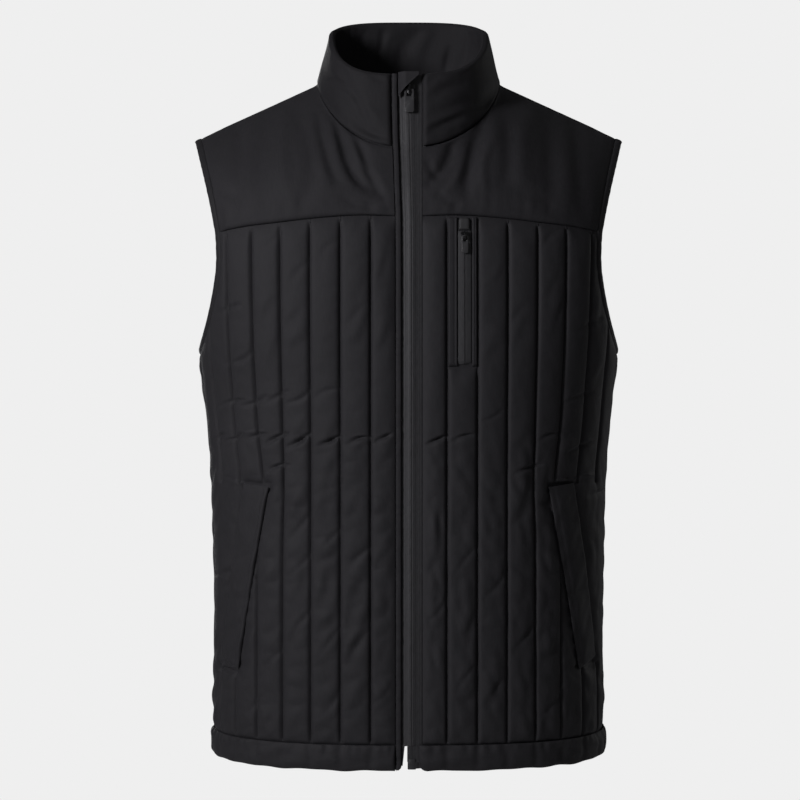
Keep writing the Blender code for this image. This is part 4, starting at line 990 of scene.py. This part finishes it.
hemLevel = form["hem"] + form["hemBand"] / 2
hemSide = float(frontEdgeArc(hemLevel))
endShares = np.linspace(0, 1, 9)[:-1] ** 1.5 * 0.010
leftHemArcs = np.concatenate([form["frontEdge"] - hem["wrap"] + endShares,
                              np.linspace(form["frontEdge"] - hem["wrap"] + 0.010, hemSide, 116)])
rightHemArcs = np.concatenate([form["frontEdge"] - 0.0001 + endShares,
                               np.linspace(form["frontEdge"] + 0.0099, hemSide, 114)])
backHemSide = float(backEdgeArc(hemLevel))
backHemArcs = np.linspace(-backHemSide, backHemSide, 236)
quiltLines = frontLines[1:-1]
for name, node, args in (
        ("hem_front_left", "hem_band_left", (frontPoint, leftHemArcs, quiltLines, False, 91, "lapped")),
        ("hem_front_right", "hem_band_right", (frontPoint, rightHemArcs, quiltLines, True, 95, "butted")),
        ("hem_back", "hem_band_back", (backPoint, backHemArcs, backLines[1:-1], False, 99, None))):
    piece = makeHem(name, *args)
    dress(piece, "quilted_cloth", node)
print("hem gathered")

# centre front: tapes, edge strip, garage
zipper = {
    "meet": 0.0028, "ridge": 0.0004, "valley": -0.0014, "under": -0.0019, "back": -0.0030,
    "strip": (-0.0128, -0.0068), "stripIn": -0.0014, "stripOut": 0.0018,
    "rightFoot": -0.6404, "leftFoot": -0.6560, "pinEdge": -0.0016, "boxEdge": 0.0064, "tail": (-0.0060, -0.0040),
    "step": 0.0024, "sewn": 0.22, "pucker": 0.00028, "sunk": 0.00050, "sway": 0.00025,
    "footRound": 0.006, "footCut": 0.0030,
    "toothPitch": 0.0013, "toothSize": (0.0019, 0.00062, 0.0007), "toothSlant": 1.35, "toothAt": 0.13,
    "toothSunk": 0.00008, "toothTop": -0.022, "toothStep": 0.004,
}
garageCut = {
    "low": -0.0205, "rise": 0.0215, "wide": 0.0165, "lift": 0.0012, "stand": 0.0058, "turned": 0.45,
    "thick": 0.0012, "fold": 0.00035,
}
topLines = []  # where topstitching goes: points and the way out
lineZ = np.linspace(form["hem"], float(yokeSeamZ(form["frontEdge"])) - 0.004, 40)
centreLine = np.concatenate([
    frontPoint(np.full_like(lineZ, form["frontEdge"]), lineZ),
    frontYokePoint(np.zeros(9), np.linspace(0.05, 0.95, 9)),
    collarPoint(np.zeros(12), np.linspace(0.04, 1, 12))])


def frontFrames(z, x):
    lineY, lineAt = centreLine[:, 1], centreLine[:, 2]
    place = np.stack([np.full_like(z, x), np.interp(z, lineAt, lineY), z], axis=-1)
    lead = np.interp(z + 0.012, lineAt, lineY) - np.interp(z - 0.012, lineAt, lineY)
    along = unit(np.stack([np.zeros_like(z), lead, np.full_like(z, 0.024)], axis=-1))
    across = np.tile([1.0, 0.0, 0.0], (len(z), 1))
    return place, across, along, np.cross(across, along)


topZ = collarTop[3] - 0.0012
gap = form["seamGap"]
tapeEdges = {"right": (zipper["meet"] - gap / 2, zipper["strip"][1] + gap),
             "left": (zipper["meet"] + gap / 2, form["frontEdge"] - gap)}


def tapeTop(t):  # a low roof over the coil that is sewn behind the meeting line, with ribs along the tape
    rib = 0.00010 * np.abs(np.sin(math.pi * np.clip((t - 0.34) / 0.66, 0, 1) * 3.0))
    coil = 0.00030 * ease(0.0, 0.05, t) * (1 - ease(0.30, 0.40, t))
    return blendRow(zipper["ridge"], zipper["valley"], t) + rib + coil


def makeTape(side, zs, inner, hidden):  # hidden: the turned edge that goes behind the next piece
    place, across, along, out = frontFrames(zs, 0.0)
    t = np.linspace(0, 1, 26)
    profile = []
    for start, points in zip(inner, hidden):
        top = np.stack([blendRow(start, tapeEdges[side][1], t), tapeTop(t)], axis=-1)
        profile.append(np.concatenate([top, points]))
    piece = sweep("zip_tape_" + side + "_woven", place, across, out, np.array(profile), False, tape, 40)
    dress(piece, "zip_tape", "zip_tape_" + side)


under, backOf = zipper["under"], zipper["back"]
inner, outer = tapeEdges["right"]
zs = np.append(np.arange(zipper["rightFoot"], topZ - 0.001, zipper["step"]), topZ)
tailZ = np.linspace(zipper["leftFoot"] - 0.004, zipper["rightFoot"] - 0.0008, 8)
tail = np.interp(tailZ, (tailZ[0], tailZ[-1]), zipper["tail"])  # it narrows to a tail beside the box
turned = [(outer, under), (outer - 0.0026, under), (outer - 0.0026, backOf), (inner - 0.002, backOf),
          (inner - 0.002, backOf - 0.0016), (inner + 0.0024, backOf - 0.0016), (inner + 0.0024, backOf - 0.0004),
          (inner, backOf - 0.0004)]
tailTurned = [turned[:3] + [(x, backOf)] * 5 for x in tail]
starts = np.concatenate([tail, np.full_like(zs, inner)])
makeTape("right", np.concatenate([tailZ, zs]), starts, tailTurned + [turned] * len(zs))
inner, outer = tapeEdges["left"]
besideBox = np.linspace(zipper["leftFoot"] - 0.0065, zipper["leftFoot"] - 0.0005, 4)
zs = np.concatenate([besideBox, np.linspace(zipper["leftFoot"], zipper["rightFoot"] - 0.0008, 7), zs])
starts = np.where(zs < zipper["rightFoot"] - 0.0004, zipper["pinEdge"], inner)
starts = np.where(zs < zipper["leftFoot"] - 0.0002, zipper["boxEdge"], starts)
reach = np.where(zs < form["hem"] + form["hemBand"] + 0.0015, outer + 0.0001, outer + 0.0036)
makeTape("left", zs, starts, [[(outer, under), (r, under), (r, backOf), (a, backOf)] for r, a in zip(reach, starts)])

stripZ = np.arange(form["hem"] + 0.001, collarTop[3], 0.0020)
stripZ[-1] = collarTop[3]
place, across, along, out = frontFrames(stripZ, 0.0)
t = np.linspace(0, 1, 15)
stripLow, stripHigh = zipper["strip"]
xs = blendRow(stripLow, stripHigh, t)
crown = np.sqrt(1 - (2 * t - 1) ** 4)
tops = zipper["stripIn"] + 0.0004 + (zipper["stripOut"] - zipper["stripIn"] - 0.0004) * crown
puckers = ripples(stripZ[:, None], 0.4 * xs[None, :], 111, 10, 0.006, 0.018, 0, 14)
sewn = bell(t - zipper["sewn"], 0.09)[None, :]  # sunk a little along the topstitching
turned = [
    (stripHigh, zipper["stripIn"]), (stripLow + 0.001, zipper["stripIn"]), (stripLow + 0.001, backOf - 0.0012),
    (stripLow - 0.0032, backOf - 0.0012), (stripLow - 0.0032, backOf), (stripLow, backOf)]
profile = np.repeat(np.concatenate([np.stack([xs, tops], axis=-1), turned])[None], len(stripZ), axis=0)
profile[:, :15, 1] += zipper["pucker"] * puckers * crown[None, :] - zipper["sunk"] * sewn
sway = zipper["sway"] * ripples(stripZ[:, None], 0 * xs[None, :], 113, 6, 0.02, 0.07, 0, 1)
profile[:, :15, 0] += sway * np.sin(math.pi * t)[None, :]
rounded = 1 - bulge((stripZ - stripZ[0]) / zipper["footRound"])  # the corner at the foot
profile[..., 0] = np.minimum(profile[..., 0], (stripHigh - zipper["footCut"] * rounded)[:, None])
j = int(np.argmin(np.abs(t - zipper["sewn"])))
topLines.append((place + across * profile[:, j, :1] + out * profile[:, j, 1:], out))
edgeStrip = sweep("edge_strip_sewn", place, across, out, profile, False, plain)
dress(edgeStrip, "plain_cloth", "edge_strip")

share, climb = np.meshgrid(np.linspace(0, 1, 34), np.linspace(0, 1, 18))
low = garageCut["low"] + garageCut["rise"] * share
z = low + (collarTop[3] + 0.001 - low) * climb
x = zipper["strip"][1] + gap + garageCut["wide"] * share
place, across, along, out = (a.reshape(z.shape + (3,)) for a in frontFrames(z.ravel(), 0.0))
place[..., 0] = x
lift = garageCut["lift"] + garageCut["stand"] * np.sin(np.minimum(1, share / garageCut["turned"]) * math.pi / 2)
fold = garageCut["fold"] * bell(climb, 0.12)
base = place + out * lift[..., None]
uv = np.stack([x + 0.1, z + 0.1], axis=-1)
garage = shell("zip_garage_folded", base + out * (garageCut["thick"] + fold)[..., None], base, uv, plain)
dress(garage, "plain_cloth", "zip_garage")
print("front opening sewn")

# pockets: raised patches on the fronts
pockets = {
    "weltLow": 0.0022, "weltHigh": 0.0048, "weltOuter": 0.0036, "weltEdge": 0.0018, "weltMouth": 0.014,
    "handSewn": 0.17, "handWave": 0.00040, "dip": 0.0017, "dipWidth": 0.18, "sunk": 0.0005,
    "chestLow": 0.0014, "chestHigh": 0.0021, "chestSewn": 0.68, "chestWave": 0.00022, "tapeHigh": 0.0018,
    "inner": (0.0375, 0.0465), "tapes": (0.0469, 0.0532, 0.0535, 0.0598), "outer": (0.0602, 0.0648),
    "foot": -0.2800, "head": -0.1375, "tab": -0.1500, "tabHigh": 0.0030, "tabArcs": (0.0474, 0.0584),
    "toothHigh": 0.00170, "toothTop": -0.162,
}


def patch(name, corners, countU, countV, low, high, edges, material, mirrored=False, extra=None, waist=None,
          sewnAt=None):
    (a1, z1), (a2, z2), (b1, y1), (b2, y2) = corners  # inner top, inner foot, outer top, outer foot
    ends = (1 - np.cos(np.linspace(0, math.pi, countU))) / 2
    s, d = np.meshgrid(0.4 * np.linspace(0, 1, countU) + 0.6 * ends, np.linspace(0, 1, countV) ** 1.2)
    arc = blendRow(blendRow(a1, a2, d), blendRow(b1, b2, d), s)
    z = blendRow(blendRow(z1, z2, d), blendRow(y1, y2, d), s)
    if waist is not None:  # narrower where its end is rounded
        middle = (a1 + b1) / 2
        arc = middle + (arc - middle) * waist(d)
    base, normal = surfaceFrame(frontPoint, arc, z)
    if mirrored:
        base, normal = base * flipX, normal * flipX
    width, length = abs(b1 - a1), math.hypot(a2 - a1, z2 - z1)
    innerEdge, outerEdge, topEdge, footEdge = edges
    near = np.minimum(np.minimum(s * width / innerEdge, (1 - s) * width / outerEdge), (1 - d) * length / footEdge)
    dome = bulge(near) * ease(-topEdge / 2, topEdge, d * length)
    top = low + 0.0003 + (high - low - 0.0003) * dome
    if extra is not None:
        top = top + extra(s, d, dome, base)
    if sewnAt is not None:
        j = int(np.argmin(np.abs(s[0] - sewnAt)))
        topLines.append(((base + normal * top[..., None])[2:-2, j], normal[2:-2, j]))
    return shell(name, base + normal * top[..., None], base + normal * low, np.stack([arc, z + 0.7], axis=-1), material)


weltCorners = quilt["weltInner"] + quilt["weltOuter"]


def weltFolds(seed, table, dip):  # dip: how far its inner edge lies below the panel beside it
    def extra(s, d, dome, base):
        sewn = -pockets["sunk"] * bell(s - pockets["handSewn"], 0.035)
        tilt = (pockets["weltOuter"] - pockets["weltHigh"]) * s - dip * bell(s, pockets["dipWidth"])
        waves = pockets["handWave"] * ripples(s * 0.03, d * 0.18, seed, 9, 0.012, 0.045, 60, 35)
        return dome * (waves + sewn + tilt + creases(base, table))
    return extra


leftWeltFolds = [(556, 600, 585, 588, 5, -0.7), (560, 545, 580, 530, 5, -0.7)]
rightWeltFolds = [(226, 590, 250, 600, 6, -0.9), (236, 560, 258, 546, 5, -0.8), (222, 640, 246, 622, 5, -0.8)]
for side, mirrored, table in (("left", False, leftWeltFolds), ("right", True, rightWeltFolds)):
    edge = pockets["weltEdge"]
    dip = 0 if mirrored else pockets["dip"]
    piece = patch(
        "hand_welt_" + side, weltCorners, 24, 96, pockets["weltLow"], pockets["weltHigh"],
        (edge, edge, pockets["weltMouth"], edge), quilted, mirrored, weltFolds(121 + 7 * mirrored, table, dip),
        sewnAt=pockets["handSewn"])
    dress(piece, "quilted_cloth", "hand_pocket_welt_" + side)


def strip(name, arcs, foot, head, high, material, node, slot, edgeWidth, extra=None, cut=0.0, waist=None, sewnAt=None):
    corners = ((arcs[0], head), (arcs[0], foot), (arcs[1], head), (arcs[1], foot + cut))
    piece = patch(name, corners, 14, 72, pockets["chestLow"], pockets["chestLow"] + high, (edgeWidth,) * 4, material,
                  False, extra, waist, sewnAt)
    return dress(piece, slot, node)


def weltSewn(s, d, dome, base):
    waves = pockets["chestWave"] * ripples(s * 0.01, d * 0.14, 141, 8, 0.008, 0.020, 80, 20)
    return dome * (waves - pockets["sunk"] * bell(s - pockets["chestSewn"], 0.10))


def tapeLean(way):  # a low roof like the main zip's
    def extra(s, d, dome, base):
        fromMiddle = 1 - s if way < 0 else s
        return dome * (-0.0008 * fromMiddle ** 1.6 + 0.00006 * np.sin(s * 25))
    return extra


def tongue(d):  # the tab's rounded head
    return 0.45 + 0.55 * bulge(d / 0.40)


footZ, tabZ = pockets["foot"] + 0.002, pockets["tab"] - gap
chestPieces = [
    strip("chest_welt_inner_sewn", pockets["inner"], pockets["foot"], pockets["head"], pockets["chestHigh"], quilted,
          "chest_welt_inner", "quilted_cloth", 0.0014, weltSewn, sewnAt=pockets["chestSewn"]),
    strip("chest_welt_outer_sewn", pockets["outer"], pockets["foot"], pockets["head"], pockets["chestHigh"], quilted,
          "chest_welt_outer", "quilted_cloth", 0.0014, weltSewn, sewnAt=pockets["chestSewn"]),
    strip("chest_tape_inner_woven", pockets["tapes"][:2], footZ, tabZ, pockets["tapeHigh"], tape,
          "chest_zip_tape_inner", "zip_tape", 0.0004, tapeLean(-1)),
    strip("chest_tape_outer_woven", pockets["tapes"][2:], footZ, tabZ, pockets["tapeHigh"], tape,
          "chest_zip_tape_outer", "zip_tape", 0.0004, tapeLean(1), 0.0020),
    strip("chest_tab_folded", pockets["tabArcs"], pockets["tab"], pockets["head"], pockets["tabHigh"], tabCloth,
          "chest_zip_tab", "plain_cloth", 0.0024, None, 0.0, tongue),
]
print("pockets set in")

# hardware: the CAD shapes with their edges rounded
for node, body, width, finish in (
        ("zip_slider", "vest", 0.00045, enamel),
        ("chest_slider", "vest", 0.00040, enamel),
        ("zip_box", "vest", 0.00060, satin),
        ("zip_pull", "front_pull", 0.00030, satin),
        ("chest_pull", "pocket_pull", 0.00030, satin)):
    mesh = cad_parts[node].data.copy()
    mesh.name = node + "_rounded"
    bm = bmesh.new()
    bm.from_mesh(mesh)
    bmesh.ops.remove_doubles(bm, verts=bm.verts, dist=0.00001)
    bmesh.ops.dissolve_limit(bm, angle_limit=math.radians(2), verts=bm.verts, edges=bm.edges)
    sharpEdges = [e for e in bm.edges if len(e.link_faces) == 2 and e.calc_face_angle(0) > math.radians(28)]
    bmesh.ops.bevel(bm, geom=sharpEdges, offset=width, segments=2, profile=0.6, affect="EDGES", clamp_overlap=True)
    bm.to_mesh(mesh)
    bm.free()
    mesh.materials.clear()
    mesh.materials.append(finish)
    mesh.shade_smooth()
    mesh.set_sharp_from_angle(angle=math.radians(40))
    dress(addObject(node + "_rounded", mesh), "zip_hardware", node, body=body)
print("hardware rounded")


# stitches and zip teeth: beads of thread set along lines
def stitchTree(name):
    tree = bpy.data.node_groups.new(name, "GeometryNodeTree")
    face = tree.interface
    sockets = {}
    for label, kind, way in (
            ("Geometry", "NodeSocketGeometry", "INPUT"),
            ("Pitch", "NodeSocketFloat", "INPUT"),
            ("Size", "NodeSocketVector", "INPUT"),
            ("Slant", "NodeSocketFloat", "INPUT"),
            ("Material", "NodeSocketMaterial", "INPUT"),
            ("Geometry", "NodeSocketGeometry", "OUTPUT")):
        sockets[label, way] = face.new_socket(name=label, in_out=way, socket_type=kind)

    def node(kind, **settings):
        made = tree.nodes.new(kind)
        for key, value in settings.items():
            setattr(made, key, value)
        return made

    given, result = node("NodeGroupInput"), node("NodeGroupOutput")
    curve = node("GeometryNodeMeshToCurve")
    points = node("GeometryNodeCurveToPoints", mode="LENGTH")
    outward = node("GeometryNodeInputNamedAttribute", data_type="FLOAT_VECTOR")
    outward.inputs["Name"].default_value = "outward"
    alongLine = node("FunctionNodeAlignRotationToVector", axis="X")
    upright = node("FunctionNodeAlignRotationToVector", axis="Z", pivot_axis="X")
    slanted = node("FunctionNodeRotateRotation", rotation_space="LOCAL")
    spin = node("FunctionNodeAxisAngleToRotation")
    spin.inputs["Axis"].default_value = (0, 0, 1)
    bead = node("GeometryNodeMeshUVSphere")
    for key, value in (("Segments", 5), ("Rings", 4), ("Radius", 0.5)):
        bead.inputs[key].default_value = value
    shaped = node("GeometryNodeTransform")
    setOn = node("GeometryNodeInstanceOnPoints")
    real = node("GeometryNodeRealizeInstances")
    paint = node("GeometryNodeSetMaterial")
    for one, out, two, into in (
            (given, "Geometry", curve, "Mesh"),
            (curve, "Curve", points, "Curve"),
            (given, "Pitch", points, "Length"),
            (points, "Tangent", alongLine, "Vector"),
            (alongLine, "Rotation", upright, "Rotation"),
            (outward, "Attribute", upright, "Vector"),
            (upright, "Rotation", slanted, "Rotation"),
            (given, "Slant", spin, "Angle"),
            (spin, "Rotation", slanted, "Rotate By"),
            (bead, "Mesh", shaped, "Geometry"),
            (given, "Size", shaped, "Scale"),
            (points, "Points", setOn, "Points"),
            (shaped, "Geometry", setOn, "Instance"),
            (slanted, "Rotation", setOn, "Rotation"),
            (setOn, "Instances", real, "Geometry"),
            (real, "Geometry", paint, "Geometry"),
            (given, "Material", paint, "Material"),
            (paint, "Geometry", result, "Geometry")):
        tree.links.new(one.outputs[out], two.inputs[into])
    return tree, {label: socket.identifier for (label, way), socket in sockets.items() if way == "INPUT"}


sewing, sewingInputs = stitchTree("beadsAlongLines")


def sew(name, lines, pitch, size, slant, material, slot):  # lines: (points, outward) pairs
    verts, edges, outs = [], [], []
    for points, outward in lines:
        first = len(verts)
        verts += settle(np.asarray(points)).tolist()
        outs += np.asarray(outward).tolist()
        edges += [(first + k, first + k + 1) for k in range(len(points) - 1)]
    mesh = bpy.data.meshes.new(name + "Lines")
    mesh.from_pydata(verts, edges, [])
    store = mesh.attributes.new("outward", "FLOAT_VECTOR", "POINT")
    store.data.foreach_set("vector", np.asarray(outs, dtype=np.float32).ravel())
    guide = addObject(name + "Lines", mesh)
    modifier = guide.modifiers.new("sewing", "NODES")
    modifier.node_group = sewing
    for label, value in (("Pitch", pitch), ("Size", size), ("Slant", slant), ("Material", material)):
        modifier[sewingInputs[label]] = value
    depsgraph = bpy.context.evaluated_depsgraph_get()
    made = bpy.data.meshes.new_from_object(guide.evaluated_get(depsgraph))
    guide.modifiers.remove(modifier)
    bpy.data.objects.remove(guide)
    made.name = name
    made.shade_smooth()
    print(name, len(made.polygons), "faces")
    return dress(addObject(name, made), slot)


stitch = {"pitch": 0.0032, "size": (0.0024, 0.00042, 0.00040), "sink": 0.00005}
lines = []
for made in (leftFront, rightFront, backPanel):
    piece, outer, normal, arc, z, onLine, free, atEdge = made
    for j in np.flatnonzero(onLine):
        keep = (free[:, j] == 0) & ~atEdge[:, j]
        rows = np.flatnonzero(keep)
        if len(rows) < 4 or j in (0, outer.shape[1] - 1):
            continue
        for group in np.split(rows, np.flatnonzero(np.diff(rows) > 1) + 1):
            if len(group) > 3:
                lines.append((outer[group, j] + normal[group, j] * stitch["sink"], normal[group, j]))
sew("quilting_stitches", lines, stitch["pitch"], stitch["size"], 0.0, thread, "quilted_cloth")

sew("topstitching", topLines, stitch["pitch"], stitch["size"], 0.0, thread, "plain_cloth")

toothZ = np.arange(zipper["rightFoot"] + 0.002, zipper["toothTop"], zipper["toothStep"])
place, across, along, out = frontFrames(toothZ, 0.0)
toothOut = float(tapeTop(np.array(zipper["toothAt"]))) - zipper["toothSunk"]
teeth = []
for inner, outer in tapeEdges.values():
    teeth.append((place + across * blendRow(inner, outer, zipper["toothAt"]) + out * toothOut, out))
chestToothZ = np.arange(footZ + 0.002, pockets["toothTop"], zipper["toothStep"])
arcs = np.full_like(chestToothZ, (pockets["tapes"][1] + pockets["tapes"][2]) / 2)
base, normal = surfaceFrame(frontPoint, arcs, chestToothZ)
teeth.append((base + normal * (pockets["chestLow"] + pockets["toothHigh"]), normal))
sew("zip_coil", teeth, zipper["toothPitch"], zipper["toothSize"], zipper["toothSlant"], tape, "zip_tape")

# floor, light and camera
studio = {
    "floor": -1.45, "floorSize": 4.0, "paleFloor": 0.55, "paper": 0.863, "ambient": 0.044,
    "key": {"at": (-1.13, -1.27, 0.25), "to": (0.0, 0.0, -0.24), "size": 0.46, "power": 13.9,
            "tint": (0.975, 0.962, 1.0)},
    "fill": {"at": (1.2, -2.8, 0.3), "to": (0.0, 0.0, -0.30), "size": 1.6, "power": 0.2, "tint": (1.0, 1.0, 0.985)},
    "top": {"at": (-0.3, 0.2, 2.0), "to": (0.0, 0.0, -0.2), "size": 1.4, "power": 1.2, "tint": (1.0, 1.0, 1.0)},
    "rim": {"at": (2.2, 1.6, 0.10), "to": (0.0, 0.0, -0.30), "size": 1.2, "power": 5, "tint": (1.0, 1.0, 1.0)},
    "back": {"at": (-0.9, 2.6, 0.10), "to": (0.0, 0.0, -0.30), "size": 1.2, "power": 15, "tint": (1.0, 1.0, 1.0)},
}
bm = bmesh.new()
bmesh.ops.create_circle(bm, cap_ends=True, segments=96, radius=studio["floorSize"])
for vert in bm.verts:
    vert.co.z = studio["floor"]
floorMesh = bpy.data.meshes.new("floor")
bm.to_mesh(floorMesh)
bm.free()
floor = addObject("floor", floorMesh)
paper, wire, shader = startMaterial("paper", SpecularIORLevel=0.2)
grain = wire.noise(wire.make("ShaderNodeTexCoord", out="Object"), 40.0)
wire.feed(shader.inputs["Base Color"], wire.mix(grain, (0.80,) * 3, (0.84,) * 3))
wire.feed(shader.inputs["Roughness"], 0.7 + grain * 0.2)
seen = wire.make("ShaderNodeLightPath", out="Is Camera Ray")  # pale in every view, with no more light on the cloth
wire.feed(shader.inputs["Emission Color"], wire.mix(seen, (0, 0, 0), (1, 1, 1)))
shader.inputs["Emission Strength"].default_value = studio["paleFloor"]
floorMesh.materials.append(paper)

world = bpy.data.worlds.new("studio")
scene.world = world
world.use_nodes = True
sky = Wire(world.node_tree)
seenDirect = sky.make("ShaderNodeLightPath", out="Is Camera Ray")
level = studio["ambient"] + seenDirect * (studio["paper"] - studio["ambient"])
sky.feed(world.node_tree.nodes["Background"].inputs["Color"], (1, 1, 1, 1))
sky.feed(world.node_tree.nodes["Background"].inputs["Strength"], level)
for name in ("key", "fill", "top", "rim", "back"):
    lamp = studio[name]
    data = bpy.data.lights.new(name, "AREA")
    data.shape, data.size, data.energy, data.color = "DISK", lamp["size"], lamp["power"], lamp["tint"]
    light = addObject(name, data)
    light.location = lamp["at"]
    light.rotation_euler = (Vector(lamp["to"]) - Vector(lamp["at"])).to_track_quat("-Z", "Y").to_euler()
scene.view_settings.view_transform = "Standard"
scene.view_settings.look = "None"
scene.view_settings.exposure = 0.0
cameraData = bpy.data.cameras.new("camera")
cameraData.lens, cameraData.sensor_width = shot["lens"], 36.0
cameraData.clip_end = 50.0
camera = addObject("camera", cameraData)
camera.location = shot["eye"]
camera.rotation_euler = (Vector(shot["aim"]) - Vector(shot["eye"])).to_track_quat("-Z", "Y").to_euler()
scene.camera = camera
print("studio set")
